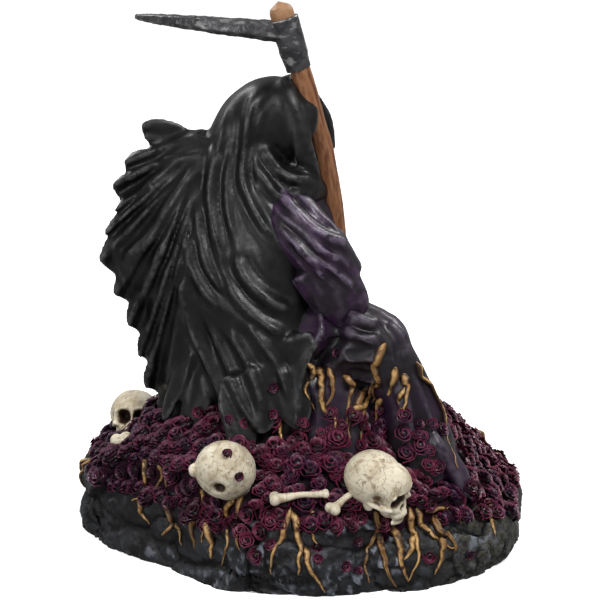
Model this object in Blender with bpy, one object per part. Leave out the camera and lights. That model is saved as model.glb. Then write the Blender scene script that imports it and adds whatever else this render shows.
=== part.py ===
"""A kneeling grim reaper on a rock base with roses, skulls and roots, and its scythe: two resin castings.

Metres, +Z up. The figure faces -Y. The origin is at the middle of the flat underside of the rock base.
"""

import math
import random

import bmesh
import bpy
import numpy as np
from mathutils import Euler, Vector, noise
from mathutils.bvhtree import BVHTree

# Rock base
BASE_LENGTH = 0.194
BASE_DEPTH = 0.158
RIM_HEIGHT = 0.034
MOUND_RISE = 0.029
FRONT_RIM_DROP = 0.014
BASE_SQUARENESS = 2.35
CORNER_REACH = 1.22
ROCK_RELIEF = 0.0022
ROCK_LUMP = 0.016
ROCK_CHIP = 0.007

# Figure, from the rim of the base to the top of its hood
FIGURE_HEIGHT = 0.164
FIGURE_PARTS = 164
RIM_PARTS = 34
CLOTH_EDGE = 0.0018
PLEAT_HEIGHT = 0.0016

# Scythe
SHAFT_DIAMETER = 0.0088
KNOB_SWELL = 0.001
SOCKET_LENGTH = 0.022
SOCKET_TOP_WALL = 0.00185
SOCKET_FOOT_WALL = 0.0008
KNOB_STANDS_OUT = 0.0045
BLADE_LENGTH = 0.096
BLADE_TILT = 9.5
BLADE_ROOT_SPINE = 0.0096
BLADE_END_SPINE = 0.0038
BLADE_WIDTH = 0.0145
BLADE_EDGE = 0.0012
FOOT_DEPTH = 0.006
GLUE_GAP = 0.0003

# Things that lie on the base
ROSE_DIAMETER = 0.0084
BUD_DIAMETER = 0.0042
ROOT_DIAMETER = 0.0029
BONE_DIAMETER = 0.0052
SKULL_LENGTH = 0.031

# How finely the castings are made
CLAY_GRAIN = 0.0013
CASTING_GRAIN = 0.00105
CASTING_TRIANGLES = 8200
HEAD_GRAIN = 0.00065
HEAD_TRIANGLES = 560

UNIT = FIGURE_HEIGHT / FIGURE_PARTS
UP = Vector((0.0, 0.0, 1.0))


def at(x, y, z):
    """A place on the figure, in parts of its height. The rim of the base is 34 parts up."""
    return Vector((x * UNIT, y * UNIT, RIM_HEIGHT + (z - RIM_PARTS) * UNIT))


def lengths(*values):
    return [value * UNIT for value in values]


def smooth_rows(rows, steps):
    """Rows of numbers carried smoothly through each given row, steps rows to each span."""
    rows = np.asarray(rows, float)
    padded = np.vstack([2 * rows[0] - rows[1], rows, 2 * rows[-1] - rows[-2]])
    out = []
    for i in range(1, len(padded) - 2):
        a, b, c, d = padded[i - 1 : i + 3]
        for k in range(steps):
            t = k / steps
            square, cube = 2 * a - 5 * b + 4 * c - d, 3 * b - 3 * c + d - a
            out.append(0.5 * (2 * b + (c - a) * t + square * t**2 + cube * t**3))
    return np.vstack([out, rows[-1:]])


def ring_faces(rows, sides, start=0):
    """Quads that join rows of a ring to the next one up."""
    faces = []
    for row in range(rows - 1):
        for side in range(sides):
            a = start + row * sides + side
            b = start + row * sides + (side + 1) % sides
            faces.append((a, b, b + sides, a + sides))
    return faces


def capped(rings, low, high):
    """A closed shape from rings of equal count, drawn to a point at each end."""
    rings = [np.asarray(ring, float) for ring in rings]
    sides = len(rings[0])
    points = np.vstack([*rings, [low], [high]])
    faces = ring_faces(len(rings), sides)
    last = (len(rings) - 1) * sides
    for side in range(sides):
        after = (side + 1) % sides
        faces.append((len(points) - 2, after, side))
        faces.append((len(points) - 1, last + side, last + after))
    return points, faces


def limb(path, widths, depths=None, across=(1, 0, 0), sides=14, steps=4, point=0.6):
    """An ellipse carried along a smooth path: half its size across is in widths, the other way in depths.

    Its ends run out to a point by a share of their half size.
    """
    depths = widths if depths is None else depths
    rows = smooth_rows([(*place, wide, deep) for place, wide, deep in zip(path, widths, depths)], steps)
    rings = []
    for i, row in enumerate(rows):
        along = Vector(rows[min(i + 1, len(rows) - 1)][:3]) - Vector(rows[max(i - 1, 0)][:3])
        along.normalize()
        side = Vector(across) - Vector(across).dot(along) * along
        side.normalize()
        other = along.cross(side)
        centre = Vector(row[:3])
        turns = [2 * math.pi * k / sides for k in range(sides)]
        rings.append([centre + side * row[3] * math.cos(t) + other * row[4] * math.sin(t) for t in turns])
    first, last = Vector(rows[0][:3]), Vector(rows[-1][:3])
    low = first + (first - Vector(rows[1][:3])).normalized() * min(rows[0][3:]) * point
    high = last + (last - Vector(rows[-2][:3])).normalized() * min(rows[-1][3:]) * point
    return capped(rings, low, high)


def ball(centre, radii, turn=(0, 0, 0), sides=14, rows=9):
    """An ellipsoid."""
    rings = []
    for row in range(1, rows):
        tilt = math.pi * row / rows
        height, girth = -math.cos(tilt), math.sin(tilt)
        turns = [2 * math.pi * k / sides for k in range(sides)]
        rings.append([(girth * math.cos(t), girth * math.sin(t), height) for t in turns])
    points, faces = capped(rings, (0, 0, -1), (0, 0, 1))
    spin = np.array(Euler(turn).to_matrix())
    return (points * np.asarray(radii)) @ spin.T + np.asarray(centre), faces


def new_object(name, shapes):
    """One mesh object of all the shapes."""
    points, faces, count = [], [], 0
    for shape_points, shape_faces in shapes:
        points.extend(map(tuple, shape_points))
        faces.extend(tuple(corner + count for corner in face) for face in shape_faces)
        count += len(shape_points)
    mesh = bpy.data.meshes.new(name)
    mesh.from_pydata(points, [], faces)
    mesh.validate()
    item = bpy.data.objects.new(name, mesh)
    bpy.context.scene.collection.objects.link(item)
    return item


def settle(item):
    """Applies the object's modifiers to its mesh."""
    bpy.context.view_layer.update()
    mesh = bpy.data.meshes.new_from_object(item.evaluated_get(bpy.context.evaluated_depsgraph_get()))
    item.modifiers.clear()
    item.data = mesh
    return item


def fuse(item, grain, smoothing=0):
    """Makes overlapping shapes one skin, then softens it."""
    remesh = item.modifiers.new("one skin", "REMESH")
    remesh.mode = "VOXEL"
    remesh.voxel_size = grain
    remesh.adaptivity = 0
    if smoothing:
        soften = item.modifiers.new("softened", "SMOOTH")
        soften.factor = 0.5
        soften.iterations = smoothing
    return settle(item)


def taken(item):
    """The object's mesh as a list of one shape, with the object removed."""
    mesh = item.data
    shape = ([v.co.copy() for v in mesh.vertices], [tuple(p.vertices) for p in mesh.polygons])
    bpy.data.objects.remove(item)
    return [shape]


def tree_of(item):
    mesh = item.data
    return BVHTree.FromPolygons([v.co for v in mesh.vertices], [p.vertices for p in mesh.polygons])


def read_points(item):
    mesh = item.data
    points = np.empty(len(mesh.vertices) * 3)
    normals = np.empty(len(mesh.vertices) * 3)
    mesh.vertices.foreach_get("co", points)
    mesh.vertex_normals.foreach_get("vector", normals)
    return points.reshape(-1, 3), normals.reshape(-1, 3)


def write_points(item, points):
    item.data.vertices.foreach_set("co", np.ascontiguousarray(points, float).ravel())
    item.data.update()


def ease(value, low, high):
    share = np.clip((value - low) / (high - low), 0, 1)
    return share * share * (3 - 2 * share)


# Rock base and mound


def rock_outline(turn, share=1.0):
    """A point of the rounded oblong outline, its near rear corner split off, at a share of its size."""
    bend = 2 / BASE_SQUARENESS
    c, s = math.cos(turn), math.sin(turn)
    x = math.copysign(abs(c) ** bend, c)
    y = math.copysign(abs(s) ** bend, s)
    share *= CORNER_REACH / max(CORNER_REACH, y - x)
    return x * share * BASE_DEPTH / 2, y * share * BASE_LENGTH / 2


# The rock's side from the table up: share of the rim's height, share of the full outline
ROCK_STEPS = (
    (-0.12, 0.975), (0.0, 0.985), (0.3, 1.0), (0.62, 0.995), (0.85, 0.955), (0.98, 0.89), (1.04, 0.8),
)


def rim_height(y):
    """The rim's height, which falls away at the base's front end."""
    return RIM_HEIGHT - FRONT_RIM_DROP * float(ease(-y / BASE_LENGTH, 0.3, 0.48))


def rock_shapes():
    rings = []
    for height, share in ROCK_STEPS:
        ring = []
        for k in range(72):
            x, y = rock_outline(2 * math.pi * k / 72, share)
            ring.append((x, y, height * rim_height(y)))
        rings.append(ring)
    return [capped(rings, (0, 0, ROCK_STEPS[0][0] * RIM_HEIGHT), (0, 0, RIM_HEIGHT * 1.05))]


def mound_height(x, y):
    """The ground of the base: level at the rim, rising under the figure."""
    reach = math.hypot(x / (BASE_DEPTH * 0.47), (y - BASE_LENGTH * 0.01) / (BASE_LENGTH * 0.46))
    return rim_height(y) + MOUND_RISE * (1 - float(ease(reach, 0.42, 1.0)))


def mound_shapes():
    rings = []
    for row in range(9):
        share = 0.9 * (1 - row / 9)
        ring = []
        for k in range(60):
            x, y = rock_outline(2 * math.pi * k / 60, share)
            ring.append((x, y, mound_height(x, y)))
        rings.append(ring)
    floor = [(x, y, RIM_HEIGHT * 0.4) for x, y, _ in rings[0]]
    return [capped([floor, *rings], (0, 0, RIM_HEIGHT * 0.4), (0, 0, mound_height(0, 0)))]


def roughen_rock(item):
    """Blocky lumps on the base's side, which die out on the mound."""
    points, normals = read_points(item)
    x, y, z = points.T
    edge = np.hypot(x / (BASE_DEPTH / 2), y / (BASE_LENGTH / 2))
    weight = ease(edge, 0.72, 0.9) * (1 - ease(z, RIM_HEIGHT * 1.05, RIM_HEIGHT * 1.3))
    moves = np.array([
        noise.noise(Vector(p) / ROCK_LUMP) + 0.55 * noise.noise(Vector(p) / ROCK_CHIP) for p in points
    ])
    steps = np.round(moves * 2.5) / 2.5
    push = ROCK_RELIEF * (0.5 * moves + 0.8 * steps) * weight
    sideways = normals * [1, 1, 0.4]
    write_points(item, points + sideways * push[:, None])


def fit_to_base(item):
    """Brings the rock's widest points back to the base's length and depth."""
    points, _ = read_points(item)
    for axis, size in ((0, BASE_DEPTH), (1, BASE_LENGTH)):
        low, high = points[:, axis].min(), points[:, axis].max()
        points[:, axis] = (points[:, axis] - (low + high) / 2) * size / (high - low)
    write_points(item, points)


# Cloak: rows from the ground up of height, front, back, width on the near side, width on the far side

CLOAK_ROWS = (
    (36, -16, 44, 38, 38),
    (50, -15, 52, 43, 42),
    (66, -13, 61, 43.5, 42),
    (80, -12, 64, 43, 41),
    (95, -12, 66, 42, 39),
    (112, -12, 75, 39, 37),
    (124, -12, 78, 36.5, 35),
    (136, -12, 75, 33, 32),
    (147, -9, 71, 29, 28),
    (157, -4, 65, 25, 24),
    (166, 2, 58, 21, 20),
    (172, 6, 46, 18, 17),
)


def cloak_ring(front, back, near, far):
    """A level slice: round the shoulders in front, drawn out behind to the cloth's thin edge."""
    ring = []
    half = 22
    for side, width in ((-1, near), (1, far)):
        shares = [k / half for k in range(half + 1)]
        row = []
        for share in shares:
            if share < 0.3:
                wide = math.sqrt(1 - (1 - share / 0.3) ** 2)
            else:
                wide = 1 - ((share - 0.3) / 0.7) ** 1.45
            row.append((side, share, width * wide))
        ring.extend(row if side < 0 else reversed(row[1:-1]))
    edge = CLOTH_EDGE / UNIT
    return [
        (side * max(width, edge * math.sqrt(min(1, share * 40))), front + share * (back - front))
        for side, share, width in ring
    ]


def cloak_shapes():
    rings = []
    for height, *row in smooth_rows(CLOAK_ROWS, 3):
        rings.append([at(x, y, height) for x, y in cloak_ring(*row)][::-1])
    return [capped(rings, at(0, 20, CLOAK_ROWS[0][0]), at(0, 22, CLOAK_ROWS[-1][0] + 1))]


# Torn strips of the cloak's trailing edge: root, tip and half width
TATTERS = (
    ((0, 30, 158), (2, 63.5, 178), 11),
    ((0, 34, 164), (0, 50, 174), 9),
    ((0, 40, 150), (-1, 72.5, 161), 9.5),
    ((0, 45, 142), (1, 77.5, 151), 9),
    ((0, 45, 136), (-2, 76.5, 141), 10),
    ((0, 48, 128), (0, 81, 131), 11.5),
    ((0, 48, 124), (2, 84, 119), 12),
    ((0, 46, 116), (1, 78, 104), 10.5),
    ((0, 42, 108), (-2, 72.5, 91), 11.5),
    ((0, 38, 96), (-1, 68, 77), 12),
    ((0, 34, 80), (1, 66, 63), 12),
    ((0, 32, 66), (0, 60, 50), 12),
)

# Torn strips of the hem, which hang over the mound on both sides
HEM_STRIPS = (
    ((-40, 2, 98), (-44, -4, 80), 7),
    ((-41, 6, 84), (-47, 0, 61), 8),
    ((-40, 16, 84), (-48, 15, 59), 7),
    ((-38, 26, 80), (-49, 23, 48), 7.5),
    ((-24, 34, 86), (-24, 49, 50), 7),
    ((-12, 44, 92), (-17, 57, 54), 7),
)


def strip(root, tip, half_width, thick, across):
    """A leaf of cloth, widest past its middle and blunt at its tip."""
    root, tip = at(*root), at(*tip)
    places = [root.lerp(tip, share) for share in (0, 0.45, 0.75, 0.93, 1.0)]
    wide = lengths(*(half_width * share for share in (1.0, 1.0, 0.84, 0.52, 0.2)))
    deep = [thick * share for share in (1.6, 1.2, 1.0, 0.9, 0.6)]
    return limb(places, deep, wide, across=across, sides=12, steps=3)


def tatter_shapes():
    shapes = [strip(root, tip, width, CLOTH_EDGE, (1, 0, 0)) for root, tip, width in TATTERS]
    for root, tip, width in HEM_STRIPS:
        for side in (1, -1):
            start = (root[0] * side, *root[1:])
            end = (tip[0] * side, *tip[1:])
            shapes.append(strip(start, end, width, CLOTH_EDGE, (1, 0, 0.3 * side)))
    return shapes


def pleat_fan(item):
    """Waves the streaming back of the cloak, with a ridge down the middle of each torn strip."""
    points, _ = read_points(item)
    neck = at(0, 36.5, 172)
    tips = [at(*tip) - neck for _, tip, _ in TATTERS]
    turns = sorted(math.atan2(tip.z, tip.y) for tip in tips)
    reach = np.hypot(points[:, 1] - neck.y, points[:, 2] - neck.z)
    turn = np.arctan2(points[:, 2] - neck.z, points[:, 1] - neck.y)
    wave = np.cos(2 * math.pi * np.interp(turn, turns, range(len(turns))))
    size = PLEAT_HEIGHT * ease(reach / UNIT, 14, 44) * ease(points[:, 1] / UNIT, 36, 52)
    points[:, 0] -= wave * size
    write_points(item, points)


# Hood, robe and arms


def posed_limb(*rows, **kind):
    """A limb from rows of place, half width and half depth, all in parts of the figure's height."""
    places, widths, depths = zip(*rows)
    return limb([at(*place) for place in places], lengths(*widths), lengths(*depths), **kind)


def hood_shapes():
    crown = posed_limb(
        ((1, 31, 158), 17, 12),
        ((0, 22, 172), 18, 15),
        ((0, 13, 179), 17.5, 17),
        ((-1, 6, 177), 16, 18),
        ((0, 0, 172), 15, 17),
    )
    cowl = posed_limb(
        ((-13, 16, 158), 5, 5),
        ((-17, 2, 155), 7.5, 7.5),
        ((-4, -7, 150), 6, 6),
        ((12, -6, 153), 6.5, 6.5),
        ((18, 10, 160), 7, 7),
        across=(0, 0, 1),
    )
    brow = posed_limb(
        ((-13, -5, 151), 2.6, 4.5),
        ((-16, -3, 163), 2.6, 4.5),
        ((-16, 0, 175), 2.6, 4.5),
        ((-13, 4, 187), 2.8, 4.5),
        ((-6, 6, 193.5), 3, 4.5),
        ((3, 3, 192), 3, 4.5),
        ((9, -3, 185.5), 2.8, 4.5),
        ((12.5, -9.5, 176), 2.4, 4),
        ((12.5, -12.5, 163), 2, 3),
        across=(1, 0, 0.01),
        sides=10,
    )
    return [crown, cowl, brow]


def robe_shapes():
    """Torso, the raised near knee, the far knee on the ground and the robe's hem."""
    chest = posed_limb(
        ((0, 8, 80), 26, 20), ((0, 2, 110), 26, 17), ((0, 2, 135), 25, 17), ((0, 8, 155), 18, 15)
    )
    near_thigh = posed_limb(
        ((-18, 8, 76), 20, 20), ((-26, -12, 92), 18, 18), ((-30, -29, 92), 15, 15), ((-31, -37, 84), 12, 12)
    )
    near_shin = posed_limb(
        ((-31, -33, 88), 14, 13), ((-31, -42, 72), 14, 13), ((-31, -47, 54), 15, 14), ((-32, -52, 36), 17, 15)
    )
    far_thigh = posed_limb(
        ((18, 6, 78), 20, 20), ((26, -12, 66), 18, 18), ((29, -30, 54), 16, 16), ((29, -38, 46), 13, 13)
    )
    far_knee = ball(at(28, -33, 42), lengths(18, 18, 15))
    lap = posed_limb(((0, 4, 84), 22, 16), ((0, -4, 66), 24, 15), ((0, -7, 44), 28, 15))
    skirt = posed_limb(((-24, -2, 90), 14, 12), ((-29, -12, 70), 15, 16), ((-31, -18, 44), 18, 20))
    hem = posed_limb(((-32, -48, 58), 13, 7), ((-35, -57, 50), 12, 6), ((-39, -66, 42), 9, 4))
    far_hem = posed_limb(((30, -32, 46), 13, 8), ((36, -44, 42), 12, 6), ((42, -54, 37), 9, 4))
    return [chest, near_thigh, near_shin, far_thigh, far_knee, lap, skirt, hem, far_hem]


def sleeve_shapes():
    """Wide sleeves that fall open over the wrists."""
    near = posed_limb(
        ((-18, 14, 150), 12, 13), ((-27, 4, 142), 12, 13), ((-31, -8, 130), 12, 13), ((-28, -16, 118), 11, 12)
    )
    near_cuff = posed_limb(((-32, -7, 126), 7, 13), ((-33, -16, 112), 7, 12), ((-31, -20, 103), 5, 9))
    far = posed_limb(
        ((18, 14, 150), 12, 13), ((27, 3, 143), 12, 12), ((29, -9, 134), 11, 12), ((20, -17, 126), 10, 11)
    )
    far_cuff = posed_limb(((28, -8, 130), 7, 12), ((26, -16, 117), 7, 11), ((22, -18, 108), 5, 8))
    return [near, near_cuff, far, far_cuff]


# Fold lines of the cloth, near side, as (y, z): each is a raised ridge with a furrow beside it
FOLDS = (
    (((15, 194), (20, 186), (22, 172), (23, 159), (20, 151), (14, 141), (8, 134)), 2.2, 1.9),
    (((29, 186), (33, 169), (36, 159), (36, 146), (33, 133), (31, 127)), 2.4, 2.0),
    (((26, 132), (23, 123), (14, 114), (2, 107)), 2.6, 2.2),
    (((46, 137), (45, 124), (39, 114), (31, 106)), 2.4, 1.8),
    (((49, 132), (49, 116), (45, 100), (41, 89), (37, 81)), 2.4, 1.8),
    (((15, 171), (8, 162), (-2, 158)), 1.9, 1.8),
    (((18, 165), (12, 156), (7, 152), (-2, 153)), 1.9, 2.0),
    (((36, 175), (50, 170), (65, 166)), 2.0, 1.2),
    (((37, 174), (55, 167), (71, 162)), 2.0, 1.2),
    (((37, 172), (57, 162), (77, 151)), 2.2, 1.3),
    (((38, 169), (55, 159), (67, 145), (76, 139)), 2.4, 1.5),
    (((39, 166), (51, 150), (62, 132), (79, 113)), 2.6, 1.7),
    (((42, 160), (53, 140), (60, 118), (66, 96)), 2.6, 1.7),
    (((30, 100), (20, 84), (14, 66)), 2.2, 1.5),
    (((46, 100), (38, 82), (26, 54)), 2.2, 1.5),
)

# The near sleeve's and the knee's creases
CREASES = (
    (((3, 141), (-2, 134), (-6, 130), (-14, 125)), 1.5, 1.2),
    (((-4, 136), (-13, 130), (-21, 127)), 1.5, 1.2),
    (((8, 134), (1, 132), (-4, 131), (-9, 130)), 1.6, 1.4),
    (((-12, 113), (-19, 108), (-27, 104), (-33, 104)), 1.7, 1.5),
    (((-13, 102), (-23, 99), (-31, 97)), 1.9, 1.8),
    (((-17, 89), (-24, 89), (-32, 90)), 1.9, 1.6),
    (((-18, 80), (-27, 79), (-33, 81)), 1.9, 1.6),
    (((-30, 109), (-37, 104), (-42, 96), (-43, 87)), 1.8, 1.4),
)

# The cape's front edge on the near side, and how far it stands over the robe behind it
CAPE_EDGE = ((6, 134), (0, 126), (-3, 117), (-8, 109), (-10, 101), (-7, 95), (-2, 82), (0, 63))


def line_distance(points, line):
    """Each point's distance to a line in the side view, its side of the line, and how far along it is."""
    best = np.full(len(points), 1e9)
    side = np.zeros(len(points))
    place = np.zeros(len(points))
    spans = np.linalg.norm(np.diff(line, axis=0), axis=1)
    total, done = spans.sum(), 0.0
    for start, end, span in zip(line[:-1], line[1:], spans):
        run = (end - start) / span
        along = np.clip((points - start) @ run, 0, span)
        offset = points - start - along[:, None] * run
        gap = np.hypot(*offset.T)
        nearer = gap < best
        best = np.where(nearer, gap, best)
        side = np.where(nearer, np.sign(run[0] * offset[:, 1] - run[1] * offset[:, 0]), side)
        place = np.where(nearer, (done + along) / total, place)
        done += span
    return best, side, place


def side_line(pairs):
    """A smooth line in the side view through the given (y, z) places."""
    return smooth_rows([at(0, y, z)[1:] for y, z in pairs], 4)


def carve_folds(item):
    """Raises each fold line as a ridge with a furrow on each side, on the figure's near and far sides."""
    points, normals = read_points(item)
    facing = ease(np.abs(normals[:, 0]), 0.15, 0.5)
    near = normals[:, 0] < 0
    push = np.zeros(len(points))
    side_view = points[:, 1:]
    for lines, far_share in ((FOLDS, 0.9), (CREASES, 0.6)):
        for pairs, half_width, height in lines:
            gap, _, place = line_distance(side_view, side_line(pairs))
            reach = gap / (half_width * UNIT)
            fade = np.minimum(ease(place, 0, 0.18), 1 - ease(place, 0.8, 1.0)) * 0.85 + 0.15
            ridge = np.exp(-(reach**2) * 1.1) - 0.62 * np.exp(-((reach - 2.1) ** 2) * 1.3)
            push += ridge * fade * height * UNIT * np.where(near, 1.0, far_share)
    gap, side, place = line_distance(side_view, side_line(CAPE_EDGE))
    reach = gap / UNIT
    lip = np.exp(-((reach - 1.0) / 2.2) ** 2) * 1.2
    recess = -6.5 * np.exp(-((reach - 5.0) / 3.6) ** 2) * ease(place, 0.22, 0.45)
    push += np.where(near, np.where(side < 0, recess, lip), 0) * UNIT
    write_points(item, points + normals * (push * facing)[:, None])


def cut_away(item, name, shape):
    """Cuts the shape out of the object."""
    cutter = new_object(name, [shape])
    cutter.hide_render = True
    cutter.display_type = "WIRE"
    cut = item.modifiers.new(name, "BOOLEAN")
    cut.object = cutter
    cut.operation = "DIFFERENCE"
    settle(item)
    bpy.data.objects.remove(cutter)


# The hood looks a little towards the near side
HEAD_TURN = math.radians(-12)


def hollow_hood(item):
    """The dark opening of the hood."""
    cut_away(item, "hood opening", ball(at(-2.5, -9, 171), lengths(10.5, 19, 18), (0, 0, HEAD_TURN)))


def face_shapes():
    """The bare skull in the hood."""
    turn = (0, 0, HEAD_TURN)
    return [
        ball(at(-1, 6, 177), lengths(10, 10, 10), turn),
        ball(at(-2.5, 0, 170), lengths(7.5, 6.5, 7), turn),
        ball(at(-3.2, -1, 162), lengths(5.4, 6, 4.5), turn),
    ]


# Skulls, bones, roses, roots and buds

# Where each skull lies, as shares of half the base's depth and length and a lift in skull lengths above the
# ground, then its size against the others, and its turn about x, y and z in degrees
SKULLS = (
    ((0.19, 0.746, 0.06), 0.88, (-20, 0, -92)),
    ((-0.79, 0.307, 0.29), 1.0, (45, 0, 75)),
    ((-0.80, -0.325, 0.245), 0.95, (18, -6, -30)),
    ((0.66, -0.41, 0.10), 0.95, (-5, 0, 70)),
    ((0.55, 0.50, 0.10), 0.9, (-20, 10, 160)),
)

# Skull: ball parts as middle, radii and turn about x, in shares of its length, facing -y
SKULL_PARTS = (
    ((0, 0.12, 0.08), (0.40, 0.42, 0.38), 0),
    ((0, -0.10, 0.10), (0.35, 0.34, 0.31), 0),
    ((0, -0.28, -0.12), (0.26, 0.20, 0.24), 10),
    ((0.20, -0.26, -0.06), (0.12, 0.14, 0.08), 0),
    ((-0.20, -0.26, -0.06), (0.12, 0.14, 0.08), 0),
    ((0, -0.33, -0.30), (0.17, 0.15, 0.12), 0),
)

# Skull dents: middle, radius, depth, in shares of its length
SKULL_DENTS = (
    ((0.145, -0.44, 0.0), 0.15, 0.26),
    ((-0.145, -0.44, 0.0), 0.15, 0.26),
    ((0, -0.47, -0.16), 0.08, 0.15),
    ((0.36, -0.16, -0.12), 0.1, 0.07),
    ((-0.36, -0.16, -0.12), 0.1, 0.07),
)


def on_base(x_share, y_share, lift):
    """A place over the ground of the base, at shares of half its depth and half its length."""
    x, y = x_share * BASE_DEPTH / 2, y_share * BASE_LENGTH / 2
    return Vector((x, y, mound_height(x, y) + lift))


def skull_frame(place, scale, turn):
    spin = Euler([math.radians(angle) for angle in turn]).to_matrix()
    x_share, y_share, lift = place
    return on_base(x_share, y_share, lift * SKULL_LENGTH), spin, SKULL_LENGTH * scale


def skull_shapes():
    shapes = []
    for place, scale, turn in SKULLS:
        centre, spin, size = skull_frame(place, scale, turn)
        for middle, radii, tilt in SKULL_PARTS:
            points, faces = ball((0, 0, 0), [r * size for r in radii], (math.radians(tilt), 0, 0))
            points = (points + np.array(middle) * size) @ np.array(spin).T + np.array(centre)
            shapes.append((points, faces))
    return shapes


def dent_skulls(item):
    """Presses in the eye sockets, the nose and the temples."""
    points, _ = read_points(item)
    for place, scale, turn in SKULLS:
        centre, spin, size = skull_frame(place, scale, turn)
        for middle, radius, depth in SKULL_DENTS:
            hollow = centre + spin @ (Vector(middle) * size)
            gap = np.linalg.norm(points - np.array(hollow), axis=1) / (radius * size)
            inward = np.array((centre - hollow).normalized())
            points += inward * (depth * size * np.exp(-(gap**2) * 1.4))[:, None]
    write_points(item, points)


# Bones: both ends, as shares of half the base's depth and length, a lift in bone thicknesses and a size
BONES = (
    ((-0.886, 0.103, 1.0, 0.95), (-0.873, -0.105, 1.3, 0.62)),
    ((-0.92, -0.134, 0.5, 0.9), (-0.82, -0.24, 1.2, 0.7)),
    ((-0.03, 0.782, 0.3, 1.15), (-0.20, 0.69, -1.2, 0.7)),
    ((0.76, 0.186, 0.9, 1.0), (0.835, -0.06, 0.9, 0.8)),
)


def bone_shapes():
    shapes = []
    for ends in BONES:
        a, b = (on_base(x, y, lift * BONE_DIAMETER) for x, y, lift, _ in ends)
        thick, thin = (share * BONE_DIAMETER / 2 for _, _, _, share in ends)
        across = (b - a).cross(UP).normalized()
        shapes.append(limb([a, a.lerp(b, 0.5), b], [thick, (thick + thin) * 0.36, thin], sides=8))
        for place, wide in ((a, thick), (b, thin)):
            for way in (-1, 1):
                shapes.append(ball(place + across * way * wide * 0.75, [wide] * 3, sides=8, rows=6))
    return shapes


def ground_point(ground, x, y):
    """The top of the ground at x, y, and its normal."""
    place, normal, _, _ = ground.ray_cast(Vector((x, y, RIM_HEIGHT + FIGURE_HEIGHT)), -UP)
    return place, normal


def rose_places(ground):
    """Spots for the roses, spread over the mound like a sunflower's seeds, clear of figure and skulls."""
    places = []
    draw = random.Random(7)
    skulls = [(skull_frame(*skull)[0], SKULL_LENGTH * skull[1] * 0.45) for skull in SKULLS]
    count = round(1.5 * BASE_LENGTH * BASE_DEPTH / ROSE_DIAMETER**2 * 0.56)
    for i in range(count):
        share = math.sqrt((i + 0.5) / count) * 0.93
        turn = i * math.pi * (3 - math.sqrt(5))
        x, y = rock_outline(turn, share)
        x += draw.uniform(-1, 1) * ROSE_DIAMETER * 0.15
        y += draw.uniform(-1, 1) * ROSE_DIAMETER * 0.15
        size = draw.uniform(0.82, 1.15)
        place, normal = ground_point(ground, x, y)
        if place is None or place.z > RIM_HEIGHT + MOUND_RISE + 3 * UNIT or normal.z < 0.45:
            continue
        if any((place - middle).length < reach for middle, reach in skulls):
            continue
        places.append((place, normal, size))
    return places


def rose_shapes(ground):
    shapes = []
    for place, normal, size in rose_places(ground):
        radius = ROSE_DIAMETER / 2 * size
        shapes.append(ball(place + normal * radius * 0.35, (radius, radius, radius * 0.8), sides=8, rows=6))
    return shapes


# Roots on the near side of the base, as shares of half its length: where each leaves the rim, where it ends,
# and how far down it forks
ROOTS = (
    (0.66, 0.72, 0.45), (0.64, 0.6, 0.5), (0.56, 0.54, 0.6), (0.45, 0.45, 0.9), (0.41, 0.39, 0.5),
    (0.28, 0.32, 0.9), (0.24, 0.25, 0.9), (0.04, 0.11, 0.3), (-0.01, -0.09, 0.5), (-0.31, -0.29, 0.35),
    (-0.34, -0.39, 0.5), (-0.38, -0.46, 0.6), (-0.47, -0.48, 0.9), (-0.53, -0.64, 0.5), (-0.55, -0.58, 0.7),
    (-0.81, -0.82, 0.9),
)
FAR_ROOTS = 14


def rock_side_point(ground, turn, height):
    """The rock's side at a turn about the middle, at a height."""
    x, y = rock_outline(turn, 1.3)
    start = Vector((x, y, height))
    place, normal, _, _ = ground.ray_cast(start, Vector((-x, -y, 0)).normalized())
    return place, normal


def near_turn(share):
    """The outline's turn at which the near side is at this share of half the base's length."""
    turn = math.asin(abs(share) ** (BASE_SQUARENESS / 2))
    return math.pi - math.copysign(turn, share)


def root_run(ground, start_turn, end_turn, high, low, thick, wander):
    """One root that creeps down the rock from high to low."""
    path, widths = [], []
    steps = 6
    for k in range(steps + 1):
        share = k / steps
        turn = start_turn + (end_turn - start_turn) * share + 0.018 * math.sin(wander + 5 * share)
        place, normal = rock_side_point(ground, turn, high + (low - high) * share)
        path.append(place + normal * thick * 0.25)
        widths.append(thick * (1 - 0.55 * share))
    return limb(path, widths, sides=7, steps=2)


def root_shapes(ground):
    shapes = []
    thick = ROOT_DIAMETER / 2
    runs = [(near_turn(top), near_turn(foot), fork) for top, foot, fork in ROOTS]
    for k in range(FAR_ROOTS):
        turn = -1.45 + 2.9 * (k + 0.5) / FAR_ROOTS
        runs.append((turn, turn + 0.07 * math.sin(3.1 * k), 0.4 + 0.05 * (k % 5)))
    for i, (start, end, fork) in enumerate(runs):
        rim = rim_height(rock_outline(start)[1])
        high, low = rim * 0.97, rim * 0.1
        shapes.append(root_run(ground, start, end, high, low, thick, i))
        split = high + (low - high) * fork
        middle = start + (end - start) * fork
        if fork < 0.8:
            branch_end = 2 * middle - end + 0.06
            shapes.append(root_run(ground, middle, branch_end, split, low, thick * 0.7, i + 2))
    return shapes


# Roots that climb the mound and the robe on the near side: (y, z) places
CLIMBING_ROOTS = (
    ((-3, 89), (-5, 81), (-3, 75), (-8, 64)),
    ((-8, 81), (-9, 70), (-14, 65), (-15, 58)),
    ((-17, 82), (-21, 76), (-20, 67), (-20, 56)),
    ((-29, 75), (-21, 68), (-20, 62)),
    ((-36, 100), (-33, 88), (-32, 74), (-31, 66)),
    ((-42, 83), (-43, 76), (-42, 67)),
    ((-47, 88), (-48, 79), (-54, 70), (-61, 56), (-65, 44)),
    ((9, 67), (8, 55)),
)


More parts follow.
